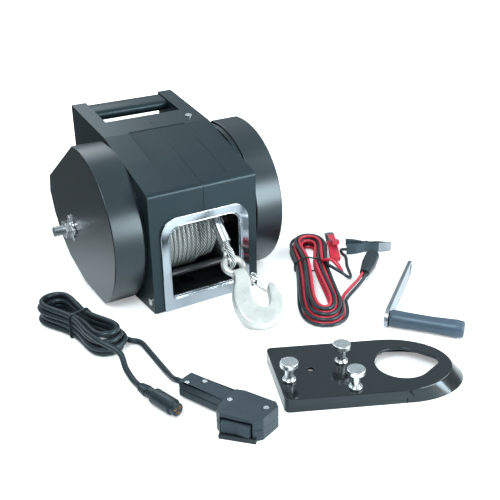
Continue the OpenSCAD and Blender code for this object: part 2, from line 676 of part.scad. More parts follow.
module hook_latch() color("#c3c8ca") hook_plane() translate(latch_pin_place) rotate([0, 0,
    latch_turn]) difference() {
    union() {
        for (side = [-1, 1]) translate([0, 0, side < 0 ? -latch_half_w : latch_half_w - latch_cheek_t]) {
            cylinder(h = latch_cheek_t, r = latch_lug_r);
            translate([0, -latch_lug_r / 2, 0]) cube([latch_l / 2, latch_lug_r, latch_cheek_t]);
        }
        translate([latch_lug_r + seat_gap, -latch_t / 2, -latch_half_w])
            cube([latch_l - latch_lug_r - seat_gap, latch_t, 2 * latch_half_w]);
    }
    translate([0, 0, -hook_t]) cylinder(h = 2 * hook_t, d = latch_pin_d + 2 * run_gap);
}

// Involute gears
function inv(a) = tan(a) * 180 / PI - a;
function gear_outline(n, m, turn) = let(
    rp = n * m / 2, rb = rp * cos(pressure_angle), ra = rp + addendum_share * m, rf = rp - dedendum_share * m,
    half = 90 / n - backlash_share * m / (2 * rp) * 180 / PI + inv(pressure_angle),
    radii = [max(rb, rf), (max(rb, rf) + ra) / 2, ra], ends = [for (r = radii) half - inv(acos(min(1,
        rb / r)))])
    [for (k = [0:n - 1]) let(a = turn + 360 * k / n)
        for (p = concat([[rf, -ends[0]]], [for (i = [0:2]) [radii[i], -ends[i]]],
            [for (i = [2:-1:0]) [radii[i], ends[i]]], [[rf, ends[0]]]))
            p[0] * [cos(a + p[1]), sin(a + p[1])]];
module gear_x(x, y, z, n, m, turn) translate([0, y, z]) along_x(x[0], x[1], gear_outline(n, m, turn));
// Turn of the follower that puts its gap on the driver's tooth
function mesh_turn(turn, n1, n2, toward) = toward + 180 + (toward - turn) * n1 / n2 + 180 / n2;
clutch_toward = atan2(clutch_z - drum_z, clutch_y - drum_y);
clutch_small_turn = mesh_turn(0, drum_teeth, clutch_small_teeth, clutch_toward);
idler_small_turn = mesh_turn(0, clutch_large_teeth, idler_small_teeth, idler_angle);
motor_turn = mesh_turn(0, idler_large_teeth, motor_teeth, motor_angle);

module drum_gear() color("#8d9195") difference() {
    gear_x(drum_gear_x, drum_y, drum_z, drum_teeth, gear_module[0], 0);
    rod_x(drum_gear_x[0] - cut, drum_gear_x[1] + cut, drum_y, drum_z, drum_shaft_d / 2 + press_gap);
}
hub_wall = 3;
module clutch_shaft() color("#c0c4c6") {
    rod_x(-cover_x - stud_out, nut_x, clutch_y, clutch_z, stud_end_d / 2);
    rod_x(nut_x, -frame_half + steel_t + shaft_stub, clutch_y, clutch_z, clutch_shaft_d / 2);
}
module clutch_gear() color("#8d9195") difference() {
    union() {
        gear_x(small_gear_x, clutch_y, clutch_z, clutch_small_teeth, gear_module[0], clutch_small_turn);
        gear_x(large_gear_x, clutch_y, clutch_z, clutch_large_teeth, gear_module[1], 0);
        rod_x(large_gear_x[1] - cut, small_gear_x[0] + cut, clutch_y, clutch_z, clutch_shaft_d / 2 + hub_wall);
    }
    rod_x(large_gear_x[0] - cut, small_gear_x[1] + cut, clutch_y, clutch_z, clutch_shaft_d / 2 + press_gap);
}
module idler_shaft() color("#a5a9ac") rod_x(gear_plate_x[0], -frame_half + steel_t - seat_gap, idler_y,
    idler_z, idler_shaft_d / 2);
module idler_gear() color("#8d9195") difference() {
    union() {
        gear_x(idler_small_x, idler_y, idler_z, idler_small_teeth, gear_module[1], idler_small_turn);
        gear_x(idler_large_x, idler_y, idler_z, idler_large_teeth, gear_module[2], 0);
        rod_x(idler_large_x[1] - cut, idler_small_x[0] + cut, idler_y, idler_z, idler_shaft_d / 2 + hub_wall);
    }
    rod_x(idler_large_x[0] - cut, idler_small_x[1] + cut, idler_y, idler_z, idler_shaft_d / 2 + press_gap);
}
module motor_pinion() color("#a5a9ac") difference() {
    gear_x(pinion_x, motor_y, motor_z, motor_teeth, gear_module[2], motor_turn);
    rod_x(pinion_x[0] - cut, pinion_x[1] + cut, motor_y, motor_z, motor_bore_r);
}
motor_bore_r = motor_shaft_d / 2 + press_gap;

module star_washer() color("#c6cacc") translate([-cover_x - seat_gap - washer_t, clutch_y,
    clutch_z]) rotate([0, 90, 0]) difference() {
    union() {
        cylinder(h = washer_t, d = washer_d);
        for (i = [0:washer_tabs - 1]) rotate([0, 0, 360 / washer_tabs * (i + 0.5)])
            translate([0, -washer_tab_w / 2, 0]) cube([washer_reach, washer_tab_w, washer_t]);
    }
    translate([0, 0, -cut]) cylinder(h = washer_t + 2 * cut, d = clutch_shaft_d + 2 * press_gap);
}
nut_x = -cover_x - seat_gap - washer_t - nut_gap - nut_h;
module clutch_nut() color("#b4b9bc") translate([nut_x, clutch_y, clutch_z]) rotate([0, 90, 0]) difference() {
    rotate([0, 0, 30]) cylinder(h = nut_h, d = nut_af / cos(30), $fn = 6);
    translate([0, 0, -cut]) cylinder(h = nut_h + 2 * cut, d = clutch_shaft_d + 2 * run_gap);
}

module motor_case() color("#3a3f42") difference() {
    rod_x(motor_left_x, motor_right_x - cap_t, motor_y, motor_z, motor_d / 2);
    rod_x(motor_left_x + cap_t, motor_right_x, motor_y, motor_z, motor_d / 2 - motor_wall);
    rod_x(motor_left_x - cut, motor_right_x, motor_y, motor_z, motor_shaft_d / 2 + run_gap);
}
magnet_out = motor_d / 2 - motor_wall - press_gap;
magnet_x = [motor_left_x + cap_t + motor_wall, motor_left_x + armature_shares[1] * motor_l + motor_wall];
module motor_magnets() color("#4b4b4d") for (side = [0, 180]) translate([0, motor_y,
    motor_z]) rotate([side, 0, 0])
    along_x(magnet_x[0], magnet_x[1], concat(arc(0, 0, magnet_out, 90 - magnet_angle / 2,
        90 + magnet_angle / 2, 16),
        arc(0, 0, magnet_out - magnet_t, 90 + magnet_angle / 2, 90 - magnet_angle / 2, 16)));
module motor_end_cap() color("#8f9497") difference() {
    union() {
        rod_x(motor_right_x - cap_t, motor_right_x, motor_y, motor_z, motor_d / 2);
        rod_x(motor_right_x - cap_boss_l, motor_right_x - cap_t + cut, motor_y, motor_z, cap_boss_d / 2);
    }
    rod_x(motor_right_x - cap_boss_l - cut, motor_right_x - cap_t / 2, motor_y, motor_z,
        motor_shaft_d / 2 + run_gap);
}
armature_x = [for (s = armature_shares) motor_left_x + s * motor_l];
commutator_x = [for (s = commutator_shares) motor_left_x + s * motor_l];
module motor_rotor() color("#b36a3c") {
    difference() {
        rod_x(armature_x[0], armature_x[1], motor_y, motor_z, armature_d / 2);
        for (i = [0:armature_slots - 1]) translate([armature_x[0] - cut, motor_y,
            motor_z]) rotate([360 / armature_slots * i, 0, 0])
            translate([0, -slot_w / 2, armature_d / 2 - slot_depth])
                cube([armature_x[1] - armature_x[0] + 2 * cut, slot_w, slot_depth + cut]);
    }
    rod_x(pinion_x[0] - seat_gap, motor_right_x - cap_t, motor_y, motor_z, motor_shaft_d / 2);
}
module commutator() color("#b87333") difference() {
    rod_x(commutator_x[0], commutator_x[1], motor_y, motor_z, commutator_d / 2);
    rod_x(commutator_x[0] - cut, commutator_x[1] + cut, motor_y, motor_z, motor_bore_r);
}
module motor_brushes() color("#3c3c3e") intersection() {
    rod_x(commutator_x[0], commutator_x[1], motor_y, motor_z, magnet_out);
    for (side = [-1, 1]) translate([commutator_x[0], motor_y - brush_w / 2,
        side < 0 ? motor_z - motor_d / 2 : motor_z + commutator_d / 2 + seat_gap])
        cube([commutator_x[1] - commutator_x[0], brush_w, motor_d / 2 - commutator_d / 2 - seat_gap]);
}

// Relay and sockets behind the right cover
relay_size = [22, 24, 30];
relay_shares = [0.15, 0.2];
relay_stud_d = 5;
relay_stud_h = 7;
module relay() color("#2c2e30") translate([half_w, cover_place(relay_shares)[0],
    cover_place(relay_shares)[1]]) {
    cube(relay_size);
    for (y = [0.25, 0.75]) translate([relay_size[0] / 2, y * relay_size[1],
        relay_size[2]]) cylinder(h = relay_stud_h, d = relay_stud_d);
}
socket_shares = [[-0.22, 0.34], [0.22, 0.34]];
socket_flange_d = 22;
socket_flange_t = 2;
socket_d = 17;
socket_bore_d = 14;
socket_l = 16;
socket_pin_d = 2.4;
socket_pin_l = 8;
sockets = [for (s = socket_shares) [cover_place(s)[0], cover_place(s)[1], socket_d / 2]];
module socket(place, pins) translate([cover_x + socket_flange_t, place[0], place[1]]) rotate([0, -90, 0]) {
    difference() {
        union() {
            cylinder(h = socket_flange_t, d = socket_flange_d);
            cylinder(h = socket_l, d = socket_d);
        }
        translate([0, 0, -cut]) cylinder(h = socket_l - socket_flange_t + cut, d = socket_bore_d);
    }
    for (i = [0:pins - 1]) rotate([0, 0, 360 / pins * i + 90]) translate([socket_bore_d / 4, 0,
        socket_l - socket_flange_t - socket_pin_l])
        cylinder(h = socket_pin_l, d = socket_pin_d);
}
module remote_socket() color("#26292b") socket(sockets[0], 3);
module power_socket() color("#26292b") socket(sockets[1], 2);

// A screw with a domed head, pointing down Z from the head's seat at z = 0
module screw(l) {
    cylinder(h = screw_head_h, d = screw_head_d);
    translate([0, 0, -l]) cylinder(h = l, d = screw_d);
}
case_screw_l = 9;
module case_screws() color("#b9bdc0") {
    at_top_screw() screw(case_screw_l);
    for (side = [-1, 1]) at_side_screw(side) screw(case_screw_l);
    in_handset() for (p = handset_screws) translate([p[0], p[1], handset_top(p[0]) - handset_screw_sink]) {
        cylinder(h = handset_screw_head_h, d = handset_screw_head_d);
        translate([0, 0, -handset_screw_l]) cylinder(h = handset_screw_l, d = handset_screw_d);
    }
}

// Remote control: local X runs along the handset from its cord
remote_place = [-106, -251];
remote_turn = -69;
handset_l = 98;
head_w = 42;
handset_wall = 2.2;
handset_gap = 0.1;
grip_z = 3;
grip_end_share = 0.58;
head_shares = [[0.53, 0.2], [0.53, -0.2], [0.57, -0.56], [0.65, -0.67], [0.94, -0.48], [1, -0.3], [1,
    0.22], [0.94, 0.33],
    [0.62, 0.28]];
handset_screw_shares = [[0.08, -0.14], [0.2, 0.12], [0.59, -0.16], [0.92, 0.05]];
handset_screw_d = 2.4;
handset_screw_head_d = 5;
handset_screw_head_h = 1.2;
handset_screw_sink = 1.5;
handset_screw_l = 11;
boss_d = 6;
gland_l = 2.5;
gland_d = 9;
rocker_l = 26;
rocker_h = 12;
rocker_in = 5;
rocker_out = 3;
rocker_dip = 1.4;
rocker_pin_d = 3;
rocker_pin_in = 2;
rocker_room = 0.5;
clip_shares = [[0.67, -0.79], [0.98, -0.5]];
clip_w = 14;
clip_t = 2;
handset_mid = handset_h / 2;
head_outline = [for (s = head_shares) [s[0] * handset_l, s[1] * head_w]];
grip_outline = [[0, -handset_grip_w / 2], [grip_end_share * handset_l, -handset_grip_w / 2],
    [grip_end_share * handset_l, handset_grip_w / 2], [0, handset_grip_w / 2]];
handset_screws = [for (s = handset_screw_shares) [s[0] * handset_l, s[1] * head_w]];
function handset_top(x) = x < head_shares[0][0] * handset_l ? handset_h - grip_z : handset_h;
module in_handset() translate([remote_place[0], remote_place[1], 0]) rotate([0, 0, remote_turn]) children();
rocker_a = head_outline[3];
rocker_b = head_outline[4];
rocker_face_turn = atan2(rocker_b[1] - rocker_a[1], rocker_b[0] - rocker_a[0]);
// X along the side face, Y inwards, the origin on the rocker's pivot
module on_rocker() translate((rocker_a + rocker_b) / 2) rotate([0, 0, rocker_face_turn]) translate([0,
    rocker_pin_in, 0]) children();
module handset_shell(low, high, grip_low, grip_high) in_handset() difference() {
    union() {
        translate([0, 0, low]) linear_extrude(high - low) polygon(head_outline);
        translate([0, 0, grip_low]) linear_extrude(grip_high - grip_low) polygon(grip_outline);
    }
    difference() {
        union() {
            translate([0, 0, handset_wall]) linear_extrude(handset_h - 2 * handset_wall)
                polygon(inset(head_outline, handset_wall));
            translate([handset_wall, -handset_grip_w / 2 + handset_wall, grip_z + handset_wall])
                cube([grip_end_share * handset_l, handset_grip_w - 2 * handset_wall,
                    handset_h - 2 * (grip_z + handset_wall)]);
        }
        for (p = handset_screws) translate([p[0], p[1], 0]) cylinder(h = handset_h, d = boss_d);
    }
    for (p = handset_screws) translate([p[0], p[1], handset_top(p[0]) - handset_screw_sink]) {
        cylinder(h = handset_screw_sink + cut, d = handset_screw_head_d + 2 * press_gap);
        translate([0, 0, -handset_screw_l - cut]) cylinder(h = handset_screw_l + 2 * cut,
            d = handset_screw_d + 2 * press_gap);
    }
    on_rocker() {
        cylinder(h = handset_h - handset_wall / 2, r = rocker_pin_d / 2 + run_gap);
        translate([-rocker_l / 2 - rocker_room, -rocker_out - rocker_pin_in - cut,
            handset_mid - rocker_h / 2 - rocker_room])
            cube([rocker_l + 2 * rocker_room, rocker_in + rocker_out + 2 * rocker_room + cut,
                rocker_h + 2 * rocker_room]);
    }
    translate([-cut, 0, handset_mid]) rotate([0, 90, 0]) cylinder(h = handset_wall + 2 * cut,
        d = gland_d + 2 * press_gap);
}
module handset_base() color("#26282a") {
    handset_shell(0, handset_mid, grip_z, handset_mid);
    in_handset() translate([-gland_l, 0, handset_mid]) rotate([0, 90,
        0]) cylinder(h = gland_l + handset_wall, d = gland_d);
}
module handset_lid() color("#232527") handset_shell(handset_mid, handset_h, handset_mid, handset_h - grip_z);
module rocker_switch() color("#303335") in_handset() on_rocker() {
    translate([0, 0, handset_mid - rocker_h / 2]) linear_extrude(rocker_h) polygon([[-rocker_l / 2,
        -rocker_pin_in - rocker_out],
        [0, -rocker_pin_in - rocker_out + rocker_dip], [rocker_l / 2, -rocker_pin_in - rocker_out],
        [rocker_l / 2 - rocker_room, rocker_in - rocker_pin_in], [-rocker_l / 2 + rocker_room,
            rocker_in - rocker_pin_in]]);
    translate([0, 0, handset_wall]) cylinder(h = handset_h - 2 * handset_wall, d = rocker_pin_d);
}
module handset_clip() color("#1d1f20") in_handset() {
    a = [clip_shares[0][0] * handset_l, clip_shares[0][1] * head_w];
    b = [clip_shares[1][0] * handset_l, clip_shares[1][1] * head_w];
    n = unit([-(b - a)[1], (b - a)[0]]) * clip_w;
    difference() {
        linear_extrude(handset_wall + clip_t) polygon([a, b, b + n, a + n]);
        linear_extrude(handset_wall + clip_t + cut) polygon(inset(head_outline, -handset_gap));
    }
}

// Hanks: loops that spiral in and out, a layer higher each time
tie_t = 1;
tie_w = 4;
loop_rings = 24;
function hank_theta(h, t) = h[0] * (90 + 360 * t);
// h = [hand, rear half length, front half length, waist, half width, step, loops to a layer,
// layer height, offset, lift]
function hank_base(h, a) = [(cos(a) < 0 ? h[1] : h[2]) * cos(a),
    (h[3] + (h[4] - h[3]) * cos(a) * cos(a)) * sin(a)];
function hank_normal(h, a) = let(v = hank_base(h, a + 0.5) - hank_base(h, a - 0.5)) unit([v[1], -v[0]]);
function hank_step(h, t) = let(j = floor(t / h[6]), s = t / h[6] - j)
    h[8] + h[5] * h[6] * (t < 0 ? 1 - t / h[6] : j % 2 == 0 ? 1 - s : s);
function hank_height(h, t) = h[9] + h[7] * (ease(t, h[6] - 0.25, h[6] + 0.25) + ease(t, 2 * h[6] - 0.25,
    2 * h[6] + 0.25)
    + ease(t, 3 * h[6] - 0.25, 3 * h[6] + 0.25));
function hank_point(h, t) = let(a = hank_theta(h, t), p = hank_base(h, a) + hank_step(h,
    t) * hank_normal(h, a)) [p[0], p[1], hank_height(h, t)];
// The same in the object's frame, with the hank's centre and turn
function placed(p, place, turn) = [place[0] + p[0] * cos(turn) - p[1] * sin(turn),
    place[1] + p[0] * sin(turn) + p[1] * cos(turn), p[2]];
function hank_path(h, from, to, place, turn, d) = run_out([for (i = [0:round((to - from) * loop_rings)])
    placed(hank_point(h, from + i / loop_rings), place, turn)], d);

remote_hank_place = [-146.7, -97.2];
remote_hank_turn = -76;
remote_hank_rule = [1, 53, 53, remote_cord_d / 2 + 0.3, 23, remote_cord_d + 0.6, 1.5, remote_cord_d + 0.5, 0,
    remote_cord_d / 2 + tie_t];
remote_from = -0.14;
remote_to = 5.64;
remote_hank_path = hank_path(remote_hank_rule, remote_from, remote_to, remote_hank_place, remote_hank_turn,
    remote_cord_d);
remote_end = len(remote_hank_path) - 1;
echo(remote_hank_least_gap = least_gap(remote_hank_path, loop_rings / 2, remote_cord_d));
module remote_hank() color("#1b1d1f") tube(remote_hank_path, upright(remote_hank_path), remote_cord_d / 2, 6);

// Cord's free stretches, from the hank to the handset and to the plug
handset_way = [[-105, -152, 3.5], [-105, -174, 3.1], [-106, -196, 3.1], [-107, -216, 3.6], [-109, -232, 7]];
remote_plug_way = [[-138, -176, 16], [-139, -192, 7], [-139, -208, 3.2], [-138.5, -222, 3.6], [-138, -233, 7]];
remote_plug_place = [-138, -241, 8.2];
remote_plug_turn = -76;
gland_end = placed([-gland_l, 0, handset_mid], remote_place, remote_turn);
function back(p, turn, d) = p - d * [cos(turn), sin(turn), 0];
// Way from end i of a hank along its own points to a fixture that faces along turn
function free_run(hank, i, way, end, turn, d) = let(u = unit(hank[i] - hank[i == 0 ? 1 : i - 1]))
    concat([hank[i] + join_gap * u, hank[i] + d * u], way, [back(end, turn, d), back(end, turn, join_gap)]);
handset_run = free_run(remote_hank_path, 0, handset_way, gland_end, remote_turn, remote_cord_d);
plug_run = free_run(remote_hank_path, remote_end, remote_plug_way, remote_plug_place, remote_plug_turn,
    remote_cord_d);
// Free stretch of cord; its first and last runs are straight, so that its ends lie square to their neighbours
module cord_run(way, d) {
    last = len(way) - 1;
    path = concat([way[0]], spline([for (i = [1:last - 1]) way[i]], 2), [way[last]]);
    tube(path, upright(path), d / 2, 8);
}
module remote_cord() color("#1b1d1f") {
    cord_run(handset_run, remote_cord_d);
    cord_run(plug_run, remote_cord_d);
}
// Band round a hank's waist
module tie(place, turn, half_width, height) translate([place[0], place[1], 0]) rotate([0, 0,
    turn]) difference() {
    translate([-tie_w / 2, -half_width - tie_t, 0]) cube([tie_w, 2 * (half_width + tie_t), height + 2 * tie_t]);
    translate([-tie_w / 2 - cut, -half_width, tie_t - seat_gap / 10]) cube([tie_w + 2 * cut,
        2 * half_width, height]);
}
function hank_half_width(h, d) = h[3] + h[5] * h[6] + d / 2 + seat_gap;
module remote_tie() color("#141516") tie(remote_hank_place, remote_hank_turn,
    hank_half_width(remote_hank_rule, remote_cord_d), remote_cord_d + 3 * remote_hank_rule[7] + seat_gap);
plug_boot_l = 9;
plug_body_l = 25;
plug_collar_l = 6;
plug_d = 15;
plug_collar_d = 12;
plug_hole_d = 2;
module remote_plug() color("#202224") translate(remote_plug_place) rotate([0, 90, remote_plug_turn]) {
    cylinder(h = plug_boot_l, d = (plug_d + remote_cord_d) / 2);
    translate([0, 0, plug_boot_l]) cylinder(h = plug_body_l, d = plug_d);
    translate([0, 0, plug_boot_l + plug_body_l]) difference() {
        cylinder(h = plug_collar_l, d = plug_collar_d);
        for (i = [0:2]) rotate([0, 0, 120 * i]) translate([plug_collar_d / 4, 0,
            plug_hole_d]) cylinder(h = plug_collar_l, d = plug_hole_d);
    }
}

// Battery lead: two wires laid side by side in one hank
lead_hank_place = [138, -111];
lead_hank_turn = -119.4;
lead_step = wire_d + 0.5;
function lead_rule(offset) = [-1, 61, 114, wire_d / 2 + 0.3, 15.5, 2 * lead_step, 1.5, wire_d + 0.5,
    offset, wire_d / 2 + tie_t];
lead_from = -0.36;
lead_to = 5.45;
red_path = hank_path(lead_rule(0), lead_from, lead_to, lead_hank_place, lead_hank_turn, wire_d);
black_path = hank_path(lead_rule(lead_step), lead_from, lead_to, lead_hank_place, lead_hank_turn, wire_d);
wire_end = len(red_path) - 1;
echo(red_hank_least_gap = least_gap(red_path, loop_rings / 2, wire_d));
echo(black_hank_least_gap = least_gap(black_path, loop_rings / 2, wire_d));
echo(hanks_apart = min([for (a = red_path) for (b = black_path) norm(a - b)]) - wire_d);
module lead_hank_red() color("#a81f24") tube(red_path, upright(red_path), wire_d / 2, 6);
module lead_hank_black() color("#1c1d1e") tube(black_path, upright(black_path), wire_d / 2, 6);

// Battery clamp: X runs from the handles to the jaws, the pivot's pin along Y
clamp_w = 12;
clamp_t = 1.5;
clamp_pin_d = 3;
clamp_pivot_share = 0.45;
clamp_cheek_r = 3;
// Along the clamp, height of a half's outer face over the middle, and its thickness, sleeve and all
clamp_shares = [[0, 0.24, 0.09], [0.2, 0.2, 0.095], [0.38, 0.115, 0.06], [0.44, 0.085, 0.027], [0.54,
    0.085, 0.027],
    [0.72, 0.09, 0.027], [0.9, 0.055, 0.027], [1, 0.01, 0.006]];
clamp_pivot_x = clamp_pivot_share * clamp_l;
clamp_side = clamp_shares[0][1] * clamp_l;
clamp_wire = clamp_side - clamp_shares[0][2] * clamp_l / 2;

lead_plug_place = [173, -163, 9.2];
lead_plug_turn = 39.5;
wires_apart = 4.6;
lead_plug_side = [-sin(lead_plug_turn), cos(lead_plug_turn), 0];
red_plug_way = [[129.5, -182, 2.6], [144, -174, 3.4], [158.5, -168.5, 6.3]];
black_plug_way = [[133.5, -186.5, 2.6], [147.5, -179, 3.4], [162, -172.5, 6.3]];
red_clamp_way = [[146, -118, 15.8], [144, -125.5, 19.2], [148.5, -132, 20.8], [154, -137.5, 13.4],
    [160, -137, 4.4], [165.5, -130, 2.2]];
black_clamp_way = [[151, -118.5, 15.8], [144.5, -131, 15.6], [144, -142.5, 15.9], [149, -151.5, 12],
    [157.5, -154, 4.5], [166, -146.5, 2.2], [178, -124.5, 2.2], [188, -110.5, 2.3],
    [191.9, -103, 2.8], [191.6, -96.8, 4.3], [192.8, -93.3, 5.9], [194.8, -92.3, 6.6]];
// The red clamp stands on its wired half, and the black one lies on its side
red_clamp_place = [176.9, -103.5, clamp_side];
red_clamp_turn = 62;
black_clamp_place = [206.1, -86.3, (clamp_w + clamp_t) / 2];
black_clamp_turn = -34;
red_plug_end = lead_plug_place + wires_apart / 2 * lead_plug_side;
black_plug_end = lead_plug_place - wires_apart / 2 * lead_plug_side;
black_entry = placed([0, -clamp_wire, black_clamp_place[2]], black_clamp_place, black_clamp_turn);
red_entry = red_clamp_place - [0, 0, clamp_wire];
red_runs = [free_run(red_path, 0, red_plug_way, red_plug_end, lead_plug_turn, wire_d),
    free_run(red_path, wire_end, red_clamp_way, red_entry, red_clamp_turn, wire_d)];
black_runs = [free_run(black_path, 0, black_plug_way, black_plug_end, lead_plug_turn, wire_d),
    free_run(black_path, wire_end, black_clamp_way, black_entry, black_clamp_turn, wire_d)];
module lead_cord_red() color("#a81f24") for (way = red_runs) cord_run(way, wire_d);
module lead_cord_black() color("#1c1d1e") for (way = black_runs) cord_run(way, wire_d);
module lead_tie() color("#141516") tie(lead_hank_place, lead_hank_turn,
    hank_half_width(lead_rule(lead_step), wire_d) + lead_step, wire_d + 3 * lead_rule(0)[7] + seat_gap);
lead_plug_boot_l = 26;
lead_plug_body_l = 24;
lead_plug_d = 17;
lead_plug_tail_d = 11;
module lead_plug() color("#202224") translate(lead_plug_place) rotate([0, 90, lead_plug_turn]) rotate_extrude()
    polygon([[0, 0], [lead_plug_tail_d / 2, 0], [lead_plug_d / 2, lead_plug_boot_l], [lead_plug_d / 2,
        lead_plug_boot_l + lead_plug_body_l],
        [lead_plug_d / 2 - plug_hole_d, lead_plug_boot_l + lead_plug_body_l],
            [lead_plug_d / 2 - plug_hole_d, lead_plug_boot_l + lead_plug_body_l - plug_hole_d],
        [0, lead_plug_boot_l + lead_plug_body_l - plug_hole_d]]);

// One half of a clamp; the one that isn't upper holds the wire and the pivot's pin
module clamp_half(upper) {
    cheek_y = clamp_w / 2 - (upper ? clamp_t + seat_gap : 0);
    outer = [for (s = clamp_shares) [s[0], s[1]] * clamp_l];
    inner = [for (s = clamp_shares) [s[0], s[1] - s[2]] * clamp_l];
    mirror([0, 0, upper ? 0 : 1]) difference() {
        union() {
            translate([0, cheek_y, 0]) rotate([90, 0, 0]) linear_extrude(2 * cheek_y)
                polygon(concat(outer, [for (i = [len(inner) - 1:-1:0]) inner[i]]));
            for (side = [-1, 1]) translate([0, side < 0 ? -cheek_y + clamp_t : cheek_y, 0]) rotate([90, 0, 0]) {
                translate([clamp_pivot_x, 0, 0]) cylinder(h = clamp_t, r = clamp_cheek_r);
                translate([clamp_pivot_x - clamp_cheek_r, 0, 0]) cube([2 * clamp_cheek_r,
                    outer[3][1] - clamp_t / 2, clamp_t]);
            }
        }
        translate([clamp_pivot_x, clamp_w, 0]) rotate([90, 0, 0])
            cylinder(h = 2 * clamp_w, d = clamp_pin_d + 2 * (upper ? run_gap : press_gap));
    }
    if (!upper) translate([clamp_pivot_x, clamp_w / 2 + clamp_t / 2, 0]) rotate([90, 0,
        0]) cylinder(h = clamp_w + clamp_t, d = clamp_pin_d);
}
module at_red_clamp() translate(red_clamp_place) rotate([0, 0, red_clamp_turn]) children();
module at_black_clamp() translate(black_clamp_place) rotate([0, 0, black_clamp_turn]) rotate([-90, 0,
    0]) children();
module red_clamp_lower() color("#8e9396") at_red_clamp() clamp_half(false);
module red_clamp_upper() color("#b3262b") at_red_clamp() clamp_half(true);
module black_clamp_lower() color("#8e9396") at_black_clamp() clamp_half(false);
module black_clamp_upper() color("#1e2022") at_black_clamp() clamp_half(true);

// Crank: the arm lies on edge, its grip's pin square to it
crank_place = [126, -256];
crank_turn = 37.7;
crank_arm_t = 4;
crank_pin_d = 8;
crank_grip_d = 19;
crank_grip_end_t = 4;
// Along the grip and out from its axis, as shares of its length and radius
crank_grip_shares = [[0, 0.82], [0.03, 0.92], [0.1, 0.95], [0.3, 0.9], [0.55, 0.88], [0.8, 0.95], [0.9, 1],
    [0.93, 0.94],
    [0.97, 0.94], [1, 0.8]];
module in_crank() translate([crank_place[0], crank_place[1], crank_arm_w / 2]) rotate([0, 0,
    crank_turn]) children();
module crank_arm() color("#9ba0a3") in_crank() {
    difference() {
        union() {
            rotate([90, 0, 0]) cylinder(h = crank_arm_t, d = crank_arm_w);
            translate([0, -crank_arm_t, -crank_arm_w / 2]) cube([crank_span, crank_arm_t, crank_arm_w]);
            translate([crank_span, 0, 0]) rotate([90, 0, 0]) cylinder(h = crank_arm_t, d = crank_arm_w);
        }
        translate([crank_span, cut, 0]) rotate([90, 0, 0]) cylinder(h = crank_arm_t + 2 * cut,
            r = stud_end_d / 2 + run_gap);
    }
    translate([0, -crank_arm_t + cut, 0]) rotate([90, 0, 0])
        cylinder(h = crank_grip_l - crank_grip_end_t - seat_gap + cut, d = crank_pin_d);
}
crank_span = crank_arm_l - crank_arm_w;
module crank_grip() color("#5b6b78") in_crank() translate([0, -crank_arm_t - seat_gap, 0]) rotate([90, 0,
    0]) rotate_extrude()
    polygon(concat([[crank_pin_d / 2 + run_gap, 0]], [for (s = crank_grip_shares) [s[1] * crank_grip_d / 2,
        s[0] * crank_grip_l]],
        [[0, crank_grip_l], [0, crank_grip_l - crank_grip_end_t], [crank_pin_d / 2 + run_gap,
            crank_grip_l - crank_grip_end_t]]));

// Tow-ball plate
hitch_place = [-46.9, -325.7];
hitch_turn = -25.2;
hitch_corner = 5;
hitch_skew = 5;
// How far the wall at the nose leans back
nose_lean = 42;
ball_narrow_share = 0.34;
ball_x_share = 0.67;
ball_y_share = 0.51;
ball_run_share = 0.145;
hitch_hole_shares = [[0.175, 0.52], [0.385, 0.52]];
hitch_hole_d = 6;
stud_neck_d = 8;
stud_head_h = 5;
stud_rise = 20;
stud_seat_d = 13;
stud_seat_h = 2.5;
// The nose is a leaning cylinder whose foot ends at the plate's full length
nose_foot = hitch_l - hitch_w / 2 / cos(nose_lean);
nose_mid = nose_foot - hitch_h / 2 * tan(nose_lean);
// Round end and narrow end of the ball hole, joined by their tangents
function pear(x, y, r, run, r2) = let(lean = acos((r - r2) / run)) concat(arc(x, y, r, lean,
    full_turn - lean, 24), arc(x + run, y, r2, -lean, lean, 10));
module in_hitch() translate([hitch_place[0], hitch_place[1], 0]) rotate([0, 0, hitch_turn]) children();
// Solid of the plate moved in by d and h high
module hitch_form(d, h) {
    r = hitch_corner - d;
    linear_extrude(h) polygon(concat(arc(hitch_corner, hitch_corner, r, 180, 270, 6), [[nose_mid, d],
        [nose_mid, hitch_w - d]],
        arc(hitch_corner - hitch_skew, hitch_w - hitch_corner, r, 90, 180, 6)));
    intersection() {
        translate([nose_foot, hitch_w / 2, 0]) rotate([0, -nose_lean, 0])
            cylinder(h = 4 * hitch_w, r = hitch_w / 2 - d, center = true);
        cube([hitch_l, hitch_w, h]);
    }
}
module hitch_plate() color("#17191a") in_hitch() difference() {
    hitch_form(0, hitch_h);
    translate([0, 0, -cut]) hitch_form(steel_t, hitch_h - steel_t + cut);
    translate([0, 0, -cut]) linear_extrude(hitch_h + 2 * cut)
        polygon(pear(ball_x_share * hitch_l, ball_y_share * hitch_w, ball_hole_d / 2,
            ball_run_share * hitch_l, ball_narrow_share * ball_hole_d / 2));
    for (s = hitch_hole_shares) translate([s[0] * hitch_l, s[1] * hitch_w, 0]) cylinder(h = hitch_h + cut,
        d = hitch_hole_d);
    for (s = stud_places) translate([s[0], s[1], 0]) cylinder(h = hitch_h + cut,
        d = stud_neck_d + 2 * press_gap);
}
module hitch_studs() color("#c3c8cb") in_hitch() for (s = stud_places) translate([s[0], s[1], 0]) {
    translate([0, 0, hitch_h - steel_t - stud_seat_h]) cylinder(h = stud_rise + steel_t + stud_seat_h,
        d = stud_neck_d);
    translate([0, 0, hitch_h - steel_t - stud_seat_h]) cylinder(h = stud_seat_h, d = stud_seat_d);
    translate([0, 0, hitch_h]) cylinder(h = stud_seat_h, d = stud_seat_d);
    translate([0, 0, hitch_h + stud_rise - stud_head_h]) cylinder(h = stud_head_h, d = stud_head_d);
}

